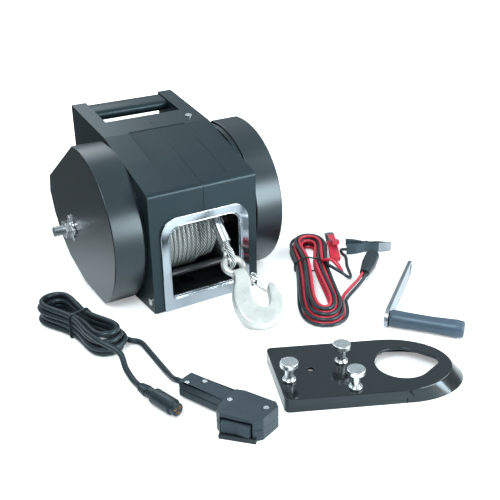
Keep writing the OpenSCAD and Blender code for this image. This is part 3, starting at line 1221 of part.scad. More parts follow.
left_housing();
right_housing();
left_cover();
right_cover();
carry_handle();
fairlead_plate();
winch_frame();
tie_rods();
gear_plate();
drum();
drum_shaft();
shaft_bushes();
drum_gear();
rope_pack();
rope_winding();
rope_lead();
rope_ferrule();
rope_thimble();
hook();
hook_latch();
latch_pin();
clutch_shaft();
clutch_gear();
star_washer();
clutch_nut();
idler_shaft();
idler_gear();
motor_case();
motor_magnets();
motor_end_cap();
motor_rotor();
commutator();
motor_brushes();
motor_pinion();
relay();
remote_socket();
power_socket();
case_screws();
handset_base();
handset_lid();
rocker_switch();
handset_clip();
remote_cord();
remote_hank();
remote_tie();
remote_plug();
lead_hank_red();
lead_hank_black();
lead_cord_red();
lead_cord_black();
lead_tie();
lead_plug();
red_clamp_lower();
red_clamp_upper();
black_clamp_lower();
black_clamp_upper();
crank_arm();
crank_grip();
hitch_plate();
hitch_studs();
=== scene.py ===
import json
import math

import bmesh
import bpy
import numpy as np
from mathutils import Matrix, Vector


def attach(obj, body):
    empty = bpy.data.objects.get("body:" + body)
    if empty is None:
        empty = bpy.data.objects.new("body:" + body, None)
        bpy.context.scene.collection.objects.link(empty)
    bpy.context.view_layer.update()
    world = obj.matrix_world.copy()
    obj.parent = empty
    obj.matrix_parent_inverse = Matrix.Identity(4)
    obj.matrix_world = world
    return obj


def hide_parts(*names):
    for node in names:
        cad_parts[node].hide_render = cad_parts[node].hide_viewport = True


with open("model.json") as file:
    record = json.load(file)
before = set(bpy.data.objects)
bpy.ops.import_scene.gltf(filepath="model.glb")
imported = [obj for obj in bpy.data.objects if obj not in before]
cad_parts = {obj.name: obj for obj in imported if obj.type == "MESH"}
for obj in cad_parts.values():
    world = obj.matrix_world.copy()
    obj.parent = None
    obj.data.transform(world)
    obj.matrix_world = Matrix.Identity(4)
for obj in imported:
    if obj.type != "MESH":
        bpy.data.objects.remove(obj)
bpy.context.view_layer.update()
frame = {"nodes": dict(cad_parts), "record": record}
mm = 0.001
nodes = frame["nodes"]
body_of_node = {n: b for b, names in frame["record"]["behaviour"]["bodies"].items() for n in names}
slot_of_node = {s["node"]: s["material_slot"] for s in frame["record"]["subparts"]}


# Camera at the photograph's place: 31 degrees to the left of the front and 25 degrees above
def make_camera():
    across = Vector((0.85071, -0.52535, -0.01732))
    upward = Vector((0.23428, 0.34948, 0.90718))
    behind = Vector((-0.47053, -0.77581, 0.42039))
    place = (-0.3752, -0.8131, 0.4309)
    data = bpy.data.cameras.new("camera")
    data.lens = 58.5
    data.sensor_width = 36
    data.clip_start = 0.05
    camera = bpy.data.objects.new("camera", data)
    turn = Matrix((across, upward, behind)).transposed().to_4x4()
    camera.matrix_world = Matrix.Translation(place) @ turn
    bpy.context.scene.collection.objects.link(camera)
    bpy.context.scene.camera = camera


# Node trees
def linear(colour):
    """sRGB hex to linear RGBA."""
    parts = [int(colour[i : i + 2], 16) / 255 for i in (1, 3, 5)]
    return [c / 12.92 if c <= 0.04045 else ((c + 0.055) / 1.055) ** 2.4 for c in parts] + [1]


def add(tree, kind, settings=None, **sockets):
    """Adds a node, with settings for its properties and a value or an output socket for each input."""
    node = tree.nodes.new("ShaderNode" + kind)
    for name, value in (settings or {}).items():
        setattr(node, name, value)
    for name, value in sockets.items():
        key = int(name[1:]) if name[0] == "i" and name[1:].isdigit() else name.replace("_", " ")
        if isinstance(value, bpy.types.NodeSocket):
            tree.links.new(value, node.inputs[key])
        else:
            node.inputs[key].default_value = value
    return node


def new_material(name):
    made = bpy.data.materials.new(name)
    made.use_nodes = True
    made.node_tree.nodes.clear()
    return made, made.node_tree


def finish_material(made, shader):
    tree = made.node_tree
    out = add(tree, "OutputMaterial")
    tree.links.new(shader.outputs[0], out.inputs["Surface"])
    made.diffuse_color = shader.inputs["Base Color"].default_value
    return made


def grain(tree, size_mm, detail=3, stretch=(1, 1, 1)):
    """Noise whose grains are about size_mm across, on object coordinates."""
    place = add(tree, "TexCoord")
    scaled = add(tree, "Mapping", Vector=place.outputs["Object"], Scale=[s / (size_mm * mm) for s in stretch])
    return add(tree, "TexNoise", Vector=scaled.outputs[0], Scale=1.0, Detail=detail, Roughness=0.55)


def between(tree, value, low, high):
    """Maps a noise value onto the range from low to high."""
    return add(tree, "MapRange", Value=value, From_Min=0.3, From_Max=0.7, To_Min=low, To_Max=high)


def two_tone(tree, value, colour, other):
    ramp = add(tree, "ValToRGB", Fac=value)
    ramp.color_ramp.elements[0].position = 0.35
    ramp.color_ramp.elements[1].position = 0.65
    ramp.color_ramp.elements[0].color = linear(colour)
    ramp.color_ramp.elements[1].color = linear(other)
    return ramp


def surface(name, colour, other, rough, grain_mm, bump_mm, patch_mm=25, metallic=0.0, coat=0.0,
            sheen="#ffffff", stretch=(1, 1, 1)):
    """Finish with patches of two close tones, a roughness range and a fine relief."""
    made, tree = new_material(name)
    patches = grain(tree, patch_mm, 4)
    fine = grain(tree, grain_mm, 3, stretch)
    tone = two_tone(tree, patches.outputs["Fac"], colour, other)
    dull = between(tree, fine.outputs["Fac"], rough[0], rough[1])
    relief = add(tree, "Bump", Strength=1.0, Distance=bump_mm * mm, Height=fine.outputs["Fac"])
    shader = add(
        tree,
        "BsdfPrincipled",
        Base_Color=tone.outputs[0],
        Roughness=dull.outputs[0],
        Normal=relief.outputs[0],
        Metallic=metallic,
        Specular_Tint=linear(sheen),
        Coat_Weight=coat,
        Coat_Roughness=0.3,
    )
    return finish_material(made, shader)


def wire_rope_finish():
    """Galvanised wire: pale grey on the crown of each strand, with painted shade in the grooves between them.
    """
    made, tree = new_material("galvanised_wire")
    patches = grain(tree, 6, 4)
    tone = two_tone(tree, patches.outputs["Fac"], "#f6fafa", "#e4edee")
    across = add(tree, "SeparateXYZ", Vector=add(tree, "TexCoord").outputs["UV"])
    # Painted shade: the colour goes near black away from each strand's crown, in the grooves where shade
    # falls between strands
    painted_groove_shade = add(tree, "MapRange", {"interpolation_type": "SMOOTHSTEP"}, Value=across.outputs["X"],
                 From_Min=0.25, From_Max=0.95)
    colour = add(tree, "Mix", {"data_type": "RGBA"}, i0=painted_groove_shade.outputs[0], i6=tone.outputs[0],
                 i7=linear("#12181a"))
    shader = add(tree, "BsdfPrincipled", Base_Color=colour.outputs[2], Roughness=0.32, Metallic=0.3)
    return finish_material(made, shader)


# Tint of the gloss on dark plastics, faintly blue as in the photograph
COOL_SHEEN = "#c6e6f2"


def make_materials():
    return {
        # Injection-moulded ABS with a fine spark texture: dark, with a broad soft sheen
        "housing_plastic": surface("moulded_abs", "#131c20", "#162024", (0.3, 0.4), 0.9, 0.015,
                                   sheen=COOL_SHEEN),
        # Smoother ABS of the side covers: a second, softer gloss over a smooth skin
        "cover_plastic": surface("satin_abs", "#12181b", "#141b1f", (0.3, 0.36), 1.2, 0.0, coat=0.5,
                                 sheen=COOL_SHEEN),
        # Chromium over polished steel: a clear mirror with a faint wave
        "chrome_plate": surface("bright_chrome", "#aab3bb", "#b2bac1", (0.07, 0.12), 30, 0.04, metallic=1.0),
        # Powder coat: black, faintly pebbled
        "frame_paint": surface("powder_coat", "#181d1f", "#1c2224", (0.35, 0.5), 1.4, 0.04),
        # Turned steel: fine marks across the axis
        "gear_steel": surface("machined_steel", "#9aa0a4", "#8d9498", (0.25, 0.4), 0.8, 0.01, metallic=1.0,
                              stretch=(4, 1, 1)),
        # Sintered bronze of the bushes, also on the commutator and contacts: warm, fine-grained metal
        "bush_bronze": surface("sintered_bronze", "#a8814c", "#9a7443", (0.35, 0.5), 0.6, 0.01, metallic=1.0),
        # Zinc-bright strands, with painted shade in the grooves between them
        "wire_rope": wire_rope_finish(),
        # Bright zinc plate: pale metal with sharp lights
        "zinc_plate": surface("bright_zinc", "#dfe2e2", "#cfd3d4", (0.18, 0.3), 3, 0.01, 10, metallic=1.0),
        # Forged hook with pale zinc over a shot-blasted skin: small patches and a soft shine
        "hook_zinc": surface("plated_forging", "#dcdcd8", "#c6c8c3", (0.3, 0.42), 1.6, 0.05, 14,
                             metallic=0.7),
        # Stoved enamel of the motor's case: black with a clear shine
        "motor_steel": surface("black_enamel", "#26292b", "#2a2d30", (0.2, 0.3), 2, 0.01),
        # Magnets and brushes of pressed powder: dull dark grey
        "ferrite": surface("sintered_ferrite", "#3a3a3c", "#424244", (0.6, 0.7), 0.5, 0.02),
        # Copper under clear enamel: red-brown with a wet shine
        "winding_copper": surface("enamelled_copper", "#a4562c", "#8d4522", (0.25, 0.4), 1, 0.05,
                                  metallic=0.8),
        # Nylon of the sockets, relay, ties and tab: dark and slightly dull
        "socket_plastic": surface("moulded_nylon", "#1c1f21", "#212426", (0.35, 0.5), 0.8, 0.02,
                                  sheen=COOL_SHEEN),
        # Textured ABS of the handset: dark grey with a fine pebble that spreads the light
        "handset_plastic": surface("textured_abs", "#262d33", "#2b3339", (0.36, 0.48), 0.8, 0.04,
                                   sheen=COOL_SHEEN),
        # Extruded sheath of the remote's cord, and the plugs: smooth and slightly waxy
        "cord_rubber": surface("cord_sheath", "#1b2023", "#20262a", (0.3, 0.42), 3, 0.01, coat=0.1,
                               sheen=COOL_SHEEN),
        # Red PVC insulation: bright, with a narrow light along the wire
        "wire_red": surface("red_wire_insulation", "#c03044", "#b0283a", (0.3, 0.4), 3, 0.01),
        # Black PVC insulation: the same shine on dark grey
        "wire_black": surface("black_wire_insulation", "#1d2427", "#242c30", (0.28, 0.38), 3, 0.01, coat=0.15,
                              sheen=COOL_SHEEN),
        # Dipped vinyl sleeves of the clamps: soft-looking, with low shine
        "clamp_red": surface("red_dipped_vinyl", "#c43346", "#b82c3e", (0.3, 0.4), 2, 0.02),
        "clamp_black": surface("black_dipped_vinyl", "#2c373d", "#323e45", (0.35, 0.45), 2, 0.02,
                               sheen=COOL_SHEEN),
        # Zinc-plated flat bar: grey metal with blurred lights
        "crank_steel": surface("plated_flat_bar", "#a9aeb2", "#9aa0a5", (0.25, 0.4), 2, 0.01, metallic=1.0),
        # Moulded grip of the crank: blue-grey plastic with a satin shine
        "grip_plastic": surface("blue_grey_plastic", "#3d4955", "#43505d", (0.3, 0.4), 2, 0.01,
                                sheen=COOL_SHEEN),
        # Gloss paint over a pressed sheet: nearly black, mirror-like
        "plate_gloss": surface("gloss_paint", "#0d0f10", "#0f1113", (0.08, 0.14), 12, 0.01, coat=0.3,
                               sheen=COOL_SHEEN),
    }


materials = make_materials()


# Pieces: edges where faces meet at more than this many degrees are rounded
EDGE_ANGLE = 32


def merged_copy(node, suffix="_piece"):
    """Copy of a CAD node's mesh with its doubles merged and its flat faces whole."""
    mesh = nodes[node].data.copy()
    work = bmesh.new()
    work.from_mesh(mesh)
    bmesh.ops.remove_doubles(work, verts=work.verts, dist=0.004 * mm)
    bmesh.ops.dissolve_limit(work, angle_limit=math.radians(0.7), verts=work.verts, edges=work.edges)
    work.to_mesh(mesh)
    work.free()
    piece = bpy.data.objects.new(node + suffix, mesh)
    bpy.context.scene.collection.objects.link(piece)
    return piece


def coat_piece(piece, slot):
    piece.data.materials.clear()
    piece.data.materials.append(materials[slot])


def dress(node, bevel_mm, segments=2, smooth=EDGE_ANGLE):
    """Stands for a CAD node with its edges rounded by a real edge radius."""
    piece = merged_copy(node)
    coat_piece(piece, slot_of_node[node])
    for face in piece.data.polygons:
        face.use_smooth = True
    piece.data.set_sharp_from_angle(angle=math.radians(smooth))
    bevel = piece.modifiers.new("edges", "BEVEL")
    bevel.width = bevel_mm * mm
    bevel.segments = segments
    bevel.limit_method = "ANGLE"
    bevel.angle_limit = math.radians(EDGE_ANGLE)
    bevel.harden_normals = True
    bevel.use_clamp_overlap = False
    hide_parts(node)
    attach(piece, body_of_node[node])
    return piece


def mesh_piece(name, vertices, faces, slot):
    mesh = bpy.data.meshes.new(name)
    mesh.from_pydata([tuple(v) for v in vertices], [], faces)
    for face in mesh.polygons:
        face.use_smooth = True
    piece = bpy.data.objects.new(name, mesh)
    bpy.context.scene.collection.objects.link(piece)
    coat_piece(piece, slot)
    return piece


def circle(count):
    """Angles of points spread evenly round a circle."""
    return [2 * math.pi * k / count for k in range(count)]


def tube_faces(rings, sides):
    """Faces between each ring of points and the next."""
    faces = []
    for near in range(0, (rings - 1) * sides, sides):
        far = near + sides
        faces += [(near + k, near + (k + 1) % sides, far + (k + 1) % sides, far + k) for k in range(sides)]
    return faces


def ring_piece(name, line, radius, sides, slot, up=(0, 1, 0)):
    """Round bead along a closed line in the plane whose normal is up, in mm."""
    line = np.array(line, float)
    run = np.roll(line, -1, axis=0) - np.roll(line, 1, axis=0)
    run /= np.linalg.norm(run, axis=1)[:, None]
    up = np.array(up, float)
    vertices = []
    for p, t in zip(line, run):
        side = np.cross(t, up)
        vertices += [(p + radius * (math.cos(a) * side + math.sin(a) * up)) * mm for a in circle(sides)]
    count = len(line)
    faces = [(i * sides + k, i * sides + (k + 1) % sides, (i + 1) % count * sides + (k + 1) % sides,
              (i + 1) % count * sides + k) for i in range(count) for k in range(sides)]
    return mesh_piece(name, vertices, faces, slot)


def arch_line(wide, low, high, corner, foot, y):
    """Closed outline of an arch with round corners in the plane y, from the lower right corner round."""
    line = []
    for x, z, r, start in (
        (wide / 2 - foot, low + foot, foot, -90),
        (wide / 2 - corner, high - corner, corner, 0),
        (corner - wide / 2, high - corner, corner, 90),
        (foot - wide / 2, low + foot, foot, 180),
    ):
        line += [[x + r * math.cos(math.radians(start + a)), y, z + r * math.sin(math.radians(start + a))]
                 for a in range(0, 91, 10)]
    return line


def lathe(name, profile, origin, along, slot, sides=24):
    """Turned piece: radii in mm at distances from the origin, along a direction."""
    along = unit(np.array(along, float))
    side = unit(np.cross(along, [0.1, 0.2, 0.97]))
    up = np.cross(along, side)
    vertices = [(np.array(origin) + d * along + r * (math.cos(a) * side + math.sin(a) * up)) * mm
                for d, r in profile for a in circle(sides)]
    return mesh_piece(name, vertices, tube_faces(len(profile), sides), slot)


def tube_piece(name, line, radius, sides, slot):
    """Round wire along a line in mm."""
    line = np.array(line, float)
    run = np.gradient(line, axis=0)
    run /= np.linalg.norm(run, axis=1)[:, None]
    side = unit(np.cross(run[0], [0.31, 0.2, 0.93]))
    vertices = []
    for p, t in zip(line, run):
        side = unit(side - t * side.dot(t))
        up = np.cross(t, side)
        vertices += [(p + radius * (math.cos(a) * side + math.sin(a) * up)) * mm for a in circle(sides)]
    last = (len(line) - 1) * sides
    faces = tube_faces(len(line), sides) + [tuple(range(sides))[::-1], tuple(last + k for k in range(sides))]
    return mesh_piece(name, vertices, faces, slot)


# Paths
def spline(points, steps):
    """Smooth path through the points, with that many steps to a stretch."""
    points = [np.array(p, float) for p in points]
    made = []
    for i in range(len(points) - 1):
        a, b = points[max(i - 1, 0)], points[i]
        c, d = points[i + 1], points[min(i + 2, len(points) - 1)]
        for k in range(steps):
            t = k / steps
            bend = 2 * a - 5 * b + 4 * c - d
            twist = 3 * b - a - 3 * c + d
            made.append(0.5 * (2 * b + t * (c - a) + t**2 * bend + t**3 * twist))
    return np.array(made + [points[-1]])


def unit(v):
    return v / np.linalg.norm(v)


def ease(t, a, b):
    """Smooth step from 0 at a to 1 at b."""
    s = min(1, max(0, (t - a) / (b - a)))
    return s * s * (3 - 2 * s)


def turned(point, place, turn):
    """Point turned about the upright by that many degrees, and moved to a place on the floor."""
    c, s = math.cos(math.radians(turn)), math.sin(math.radians(turn))
    x, y, z = point
    return np.array([place[0] + x * c - y * s, place[1] + x * s + y * c, z])


class Hank:
    """Loops that spiral in and out, a layer higher each time, laid at a place on the floor. Sizes in mm."""

    points_a_turn = 96
    climb = 0.25

    def __init__(self, hand, reach, widths, step, layer_turns, layer_height, offset, lift, span, place, turn):
        self.hand = hand
        self.rear, self.front = reach
        self.waist, self.half_width = widths
        self.step, self.layer_turns, self.layer_height = step, layer_turns, layer_height
        self.offset, self.lift = offset, lift
        self.start, self.end = span
        self.place, self.turn = place, turn

    def base(self, degrees):
        a = math.radians(degrees)
        reach = self.rear if math.cos(a) < 0 else self.front
        width = self.waist + (self.half_width - self.waist) * math.cos(a) ** 2
        return np.array([reach * math.cos(a), width * math.sin(a)])

    def point(self, t):
        a = self.hand * (90 + 360 * t)
        run = self.base(a + 0.5) - self.base(a - 0.5)
        outward = unit(np.array([run[1], -run[0]]))
        layer = math.floor(t / self.layer_turns)
        share = t / self.layer_turns - layer
        out = 1 - t / self.layer_turns if t < 0 else 1 - share if layer % 2 == 0 else share
        p = self.base(a) + (self.offset + self.step * self.layer_turns * out) * outward
        climbs = [k * self.layer_turns for k in (1, 2, 3)]
        rise = sum(ease(t, middle - self.climb, middle + self.climb) for middle in climbs)
        return np.array([p[0], p[1], self.lift + self.layer_height * rise])

    def points(self, count):
        span = self.end - self.start
        return [self.point(self.start + span * i / count) for i in range(count + 1)]

    def path(self):
        count = round((self.end - self.start) * self.points_a_turn)
        return [turned(p, self.place, self.turn) for p in self.points(count)]


def remote_hank():
    return Hank(hand=1, reach=(53, 53), widths=(3.3, 23), step=6.6, layer_turns=1.5, layer_height=6.5,
                offset=0, lift=4, span=(-0.14, 5.64), place=(-146.7, -97.2), turn=-76)


def lead_hank(offset):
    """Hank of the battery lead: the black wire lies outside the red one by the offset."""
    return Hank(hand=-1, reach=(61, 114), widths=(2.2, 15.5), step=8.6, layer_turns=1.5, layer_height=4.3,
                offset=offset, lift=2.9, span=(-0.36, 5.45), place=(138, -111), turn=-119.4)


def cord_curve(name, points, diameter, slot):
    """Round cord along the points, as a curve of one open spline."""
    curve = bpy.data.curves.new(name, "CURVE")
    curve.dimensions = "3D"
    curve.bevel_depth = diameter / 2
    curve.bevel_resolution = 4
    curve.use_fill_caps = True
    line = curve.splines.new("POLY")
    line.points.add(len(points) - 1)
    for at, p in zip(line.points, points):
        at.co = (*p, 1)
    line.use_smooth = True
    piece = bpy.data.objects.new(name, curve)
    bpy.context.scene.collection.objects.link(piece)
    curve.materials.append(materials[slot])
    return piece


# Cords, laid as in the photograph: points listed between the hanks and the ends, in mm
REMOTE_CORD_D = 6
LEAD_WIRE_D = 3.8
# Distance of the black wire outside the red one
BLACK_OFFSET = 4.3
REMOTE_PLUG_END = [-138.06, -240.757, 8.2]
RED_WIRE_END = [176.783, -103.721, 2.52]
BLACK_WIRE_END = [199.786, -95.213, 6.75]
# Steps of the smooth path between two chosen points
STRETCH_STEPS = 4


def joined(before, hank, after):
    """One path in metres: a smooth way to the hank, the hank and a smooth way on from it."""
    before = spline([*before, hank[0]], STRETCH_STEPS)
    after = spline([hank[-1], *after], STRETCH_STEPS)
    return np.vstack([before[:-1], hank, after[1:]]) * mm


def remote_cord():
    d = REMOTE_CORD_D
    gland = [-106.986, -248.433, 11]
    to_handset = [gland, [-109.046, -243.065, 11], [-109, -232, 7], [-107, -216, 3.6], [-106, -196, 3.1],
                  [-105, -174, 3.1], [-105, -152, 3.5], [-112.353, -142.67, 4]]
    to_plug = [[-150.944, -155.743, 23.5], [-138, -176, 16], [-139, -192, 7], [-139, -208, 3.2],
               [-138.5, -222, 3.6], [-138, -233, 7], [-139.452, -235.178, 8.2], REMOTE_PLUG_END]
    line = joined(to_handset, remote_hank().path(), to_plug)
    piece = cord_curve("remote_cord_line", line, d * mm, "cord_rubber")
    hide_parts("remote_cord", "remote_hank")
    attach(piece, "base")


def battery_wire(name, colour, offset, plug_way, clamp_way, replaced):
    """One wire of the battery lead, from the plug through the hank to its clamp."""
    d = LEAD_WIRE_D
    line = joined(plug_way, lead_hank(offset).path(), clamp_way)
    piece = cord_curve(name, line, d * mm, colour)
    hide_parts(*replaced)
    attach(piece, "base")


def battery_lead():
    battery_wire(
        "red_wire_line", "wire_red", 0,
        [[171.344, -161.384, 9.2], [168.605, -163.642, 9.2], [158.5, -168.5, 6.3], [144, -174, 3.4],
         [129.5, -182, 2.6], [118.738, -192.137, 2.9]],
        [[146, -118, 15.8], [144, -125.5, 19.2], [148.5, -132, 20.8], [154, -137.5, 13.4],
         [160, -137, 4.4], [165.5, -130, 2.2], [175.116, -106.855, 2.52], RED_WIRE_END],
        ("lead_hank_red", "lead_cord_red"))
    battery_wire(
        "black_wire_line", "wire_black", BLACK_OFFSET,
        [[174.27, -164.934, 9.2], [171.531, -167.192, 9.2], [162, -172.5, 6.3], [147.5, -179, 3.4],
         [133.5, -186.5, 2.6], [122.499, -194.219, 2.9]],
        [[151, -118.5, 15.8], [144.5, -131, 15.6], [144, -142.5, 15.9], [149, -151.5, 12],
         [157.5, -154, 4.5], [166, -146.5, 2.2], [178, -124.5, 2.2], [188, -110.5, 2.3], [191.9, -103, 2.8],
         [191.6, -96.8, 4.3], [192.8, -93.3, 5.9], [194.8, -92.3, 6.6], [196.843, -93.228, 6.75],
         BLACK_WIRE_END],
        ("lead_hank_black", "lead_cord_black"))


# Ties and plug
def hull_line(points):
    """Convex outline of flat points, anticlockwise."""
    points = sorted(points)

    def turns_left(a, b, c):
        return (b[0] - a[0]) * (c[1] - a[1]) > (b[1] - a[1]) * (c[0] - a[0])

    def half(run):
        kept = []
        for p in run:
            while len(kept) > 1 and not turns_left(kept[-2], kept[-1], p):
                kept.pop()
            kept.append(p)
        return kept[:-1]

    return half(points) + half(points[::-1])


def tie(node, hanks, wire_d):
    """Band drawn tight round the cords where they cross the middle of a hank, and clear of the floor."""
    band_r, samples, corners, sides = 0.9, 600, 24, 8
    place, turn = hanks[0].place, hanks[0].turn
    spots = []
    for hank in hanks:
        run = hank.points(samples)
        spots += [(p[1], p[2]) for p, q in zip(run, run[1:]) if p[0] * q[0] <= 0]
    reach = wire_d / 2 + band_r
    around = [(y + reach * math.cos(a), z + reach * math.sin(a)) for y, z in spots for a in circle(corners)]
    line = [turned([0, y, max(z, band_r)], place, turn) for y, z in hull_line(around)]
    normal = turned([1, 0, 0], (0, 0), turn)
    piece = ring_piece(node + "_piece", line, band_r, sides, slot_of_node[node], normal)
    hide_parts(node)
    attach(piece, "base")


def ties():
    tie("remote_tie", [remote_hank()], REMOTE_CORD_D)
    tie("lead_tie", [lead_hank(0), lead_hank(BLACK_OFFSET)], LEAD_WIRE_D)


def plug_details():
    """Ribbed boot over the cord, and brass sockets in the plug's face."""
    plug_l, contact_circle = 40, 3
    origin, along = np.array(REMOTE_PLUG_END), np.array([0.2419, -0.9703, 0])
    boot = [(-11, 3.05), (-11, 3.9)]
    for i in range(4):
        at, r = -10.6 + 2.7 * i, 4.0 + 0.35 * i
        boot += [(at, r + 0.5), (at + 1.3, r + 0.6), (at + 1.5, r - 0.3), (at + 2.4, r - 0.2)]
    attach(lathe("plug_boot", boot, origin, along, "cord_rubber"), "base")
    across = np.cross(along, [0, 0, 1])
    for i in range(3):
        a = math.radians(120 * i)
        outward = math.cos(a) * np.array([0, 0, -1]) + math.sin(a) * across
        middle = origin + plug_l * along + contact_circle * outward
        ring = [(-1, 1.05), (0.25, 1.05), (0.25, 1.75), (-1, 1.75)]
        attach(lathe(f"plug_socket_{i}", ring, middle, along, "bush_bronze", 14), "base")


def metal_jaws():
    """Bright steel over the ends of the clamps' halves, beyond the dipped sleeves."""
    bare_from, skin = 0.7, 0.12
    for colour, wire_end in (("red", RED_WIRE_END), ("black", BLACK_WIRE_END)):
        start = Vector(wire_end) * mm
        halves = [nodes[f"{colour}_clamp_{half}"] for half in ("lower", "upper")]
        corners = [v.co for held in halves for v in held.data.vertices]
        away = sum((Vector(c) for c in corners), Vector()) - start * len(corners)
        away.z = 0
        away.normalize()
        reach = max((c - start).dot(away) for c in corners)
        for held in halves:
            piece = merged_copy(held.name, "_jaw")
            work = bmesh.new()
            work.from_mesh(piece.data)
            behind = start + bare_from * reach * away
            bmesh.ops.bisect_plane(work, geom=work.verts[:] + work.edges[:] + work.faces[:], plane_co=behind,
                                   plane_no=away, clear_inner=True)
            work.normal_update()
            for vert in work.verts:
                vert.co += skin * mm * vert.normal
            work.to_mesh(piece.data)
            work.free()
            coat_piece(piece, "gear_steel")
            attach(piece, body_of_node[held.name])


# Wire rope in mm: LAY is the length in which a strand goes once round, and TURN_STEP the pitch on the drum
ROPE_D = 5
LAY = 25
STRANDS = 6
TURN_STEP = 5.45

# Axis of the drum
DRUM_Y, DRUM_Z = -38, 62

# Middle of the loop at the hook, with its radius and the slope of its legs in degrees
LOOP_MIDDLE = np.array([21, -116, 49.0465])
LOOP_R = 9
LOOP_RISE = 44


def stranded(name, line, sides=6):
    """Six strands along the line in mm, each drawn a little thinner than it is, so that the grooves show."""
    drawn = 0.85
    line = np.array(line, float)
    run = np.gradient(line, axis=0)
    run /= np.linalg.norm(run, axis=1)[:, None]
    side = unit(np.cross(run[0], [0.3, 0.2, 0.9]))
    travelled = np.concatenate([[0], np.cumsum(np.linalg.norm(np.diff(line, axis=0), axis=1))])
    sides_of = []
    for t in run:
        side = unit(side - t * side.dot(t))
        sides_of.append(side.copy())
    side = np.array(sides_of)
    up = np.cross(run, side)
    strand_r = ROPE_D / 6
    vertices, faces = [], []
    for strand in range(STRANDS):
        a = 2 * math.pi * (strand / STRANDS - travelled / LAY)
        out = np.cos(a)[:, None] * side + np.sin(a)[:, None] * up
        around = np.cross(run, out)
        middle = line + 2 * strand_r * out
        for b in circle(sides):
            vertices.append(middle + drawn * strand_r * (math.cos(b) * out + math.sin(b) * around))
    count = len(line)
    flat = np.array(vertices).reshape(-1, 3) * mm
    for strand in range(STRANDS):
        base = strand * sides * count
        for k in range(sides):
            a, b = base + k * count, base + (k + 1) % sides * count
            faces += [(a + i, b + i, b + i + 1, a + i + 1) for i in range(count - 1)]
        for end in (0, count - 1):
            cap = [base + k * count + end for k in range(sides)]
            faces.append(tuple(cap if end else cap[::-1]))
    piece = mesh_piece(name, flat, faces, "wire_rope")
    # Distance in mm round each strand from its crown, held in the UV map, which sets where the wire finish
    # paints shade in the grooves
    crown = [min(k, sides - k) * 2 * math.pi / sides * strand_r for k in range(sides)]
    uv = piece.data.uv_layers.new(name="strand_mm")
    for loop in piece.data.loops:
        uv.data[loop.index].uv = (crown[loop.vertex_index // count % sides], 0)
    return piece


def wound_rope():
    """Outer turns, and past them the turns that lie a layer lower."""
    turns, points_a_turn = 12, 200
    outer_turns, cross, drop, radius = 8, 5.9, 4.4, 38.5
    start = -38.2
    line = []
    for i in range(turns * points_a_turn + 1):
        t = i / points_a_turn
        x = start + TURN_STEP * t + (cross - TURN_STEP) * min(1, max(0, t - outer_turns))
        r = radius - drop * ease(t, outer_turns + 0.5, outer_turns + 1)
        a = math.radians(-60 + 360 * t)
        line.append([x, DRUM_Y + r * math.cos(a), DRUM_Z + r * math.sin(a)])
    piece = stranded("wound_rope", line, 5)
    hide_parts("rope_winding")
    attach(piece, "drum")


def rope_below():
    """The layer under the outer turns."""
    turns, points_a_turn = 8, 120
    start, radius = -35.5, 33.1
    line = []
    for i in range(turns * points_a_turn + 1):
        t = i / points_a_turn
        a = math.radians(120 - 360 * t)
        line.append([start + TURN_STEP * t, DRUM_Y + radius * math.cos(a), DRUM_Z + radius * math.sin(a)])
    piece = stranded("rope_below", line, 4)
    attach(piece, "drum")


def lead_rope():
    """Rope from the drum down to the hook, round the thimble and back up to its end beside itself."""
    x0, r, end = 20, 39.7, 342
    line = [[x0, DRUM_Y + r * math.cos(math.radians(a)), DRUM_Z + r * math.sin(math.radians(a))]
            for a in range(-30, 101, 13)]

    def off(degrees, distance):
        return np.array([0, math.cos(math.radians(degrees)), math.sin(math.radians(degrees))]) * distance

    def leg(t, aside=0):
        return LOOP_MIDDLE + off(LOOP_RISE + 90, LOOP_R) + off(LOOP_RISE, t) - off(LOOP_RISE + 90, aside)

    line += [[x0 + 0.5, -60, 98.5], [x0 + 0.5, -74, 95]]
    line += [leg(46), leg(36.5), leg(13.5)]
    round_from = LOOP_RISE + 90
    line += [LOOP_MIDDLE + off(round_from + (end - round_from) * i / 13, LOOP_R) for i in range(14)]
    line += [LOOP_MIDDLE + off(end, LOOP_R) + off(72, 13)]
    line += [leg(22, 5.3), leg(27, 5.3), leg(48.5, 5.3)]
    piece = stranded("lead_rope", spline(line, 12))
    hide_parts("rope_lead")
    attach(piece, "base")


def loop_sleeve():
    """Swaged sleeve round both parts of the rope, with a flared mouth at each end."""
    sides, half_gap, half_depth, half_width = 28, 2.65, 4.1, 5.6
    rise = math.radians(LOOP_RISE)
    along = np.array([0, math.cos(rise), math.sin(rise)])
    aside = np.array([0, math.sin(rise), -math.cos(rise)])
    start = LOOP_MIDDLE - LOOP_R * aside + half_gap * aside
    profile = ((17, -1.1), (17, 0.3), (18.5, 0.1), (20, 0), (31, 0.15), (43, 0), (45, 0.2), (46.5, 0.4),
               (46.5, -1.1), (42, -1.1))
    vertices = []
    for t, grow in profile:
        for a in circle(sides):
            over = (half_gap if math.cos(a) > 0 else -half_gap) + (half_depth + grow) * math.cos(a)
            wide = np.array([(half_width + grow) * math.sin(a), 0, 0])
            vertices.append((start + t * along + over * aside + wide) * mm)
    piece = mesh_piece("loop_sleeve", vertices, tube_faces(len(profile), sides), "zinc_plate")
    piece.data.set_sharp_from_angle(angle=math.radians(50))
    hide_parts("rope_ferrule")
    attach(piece, "base")


# Fairlead plate with its rolled lip
def fairlead():
    wide, low, high, corner, foot, sides = 90, 13, 98, 16, 7, 10
    dress("fairlead_plate", 0.7, 3)
    plate = nodes["fairlead_plate"]
    front = min((plate.matrix_world @ Vector(c)).y for c in plate.bound_box) / mm
    for name, inset, radius, back in (("mouth_bead", 0.7, 1.3, 1.3), ("mouth_lip", 0.5, 0.9, 5.6)):
        line = arch_line(wide - 2 * inset, low + inset, high - inset, corner - inset, foot - inset,
                         front + back)
        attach(ring_piece(name, line, radius, sides, "chrome_plate"), "base")


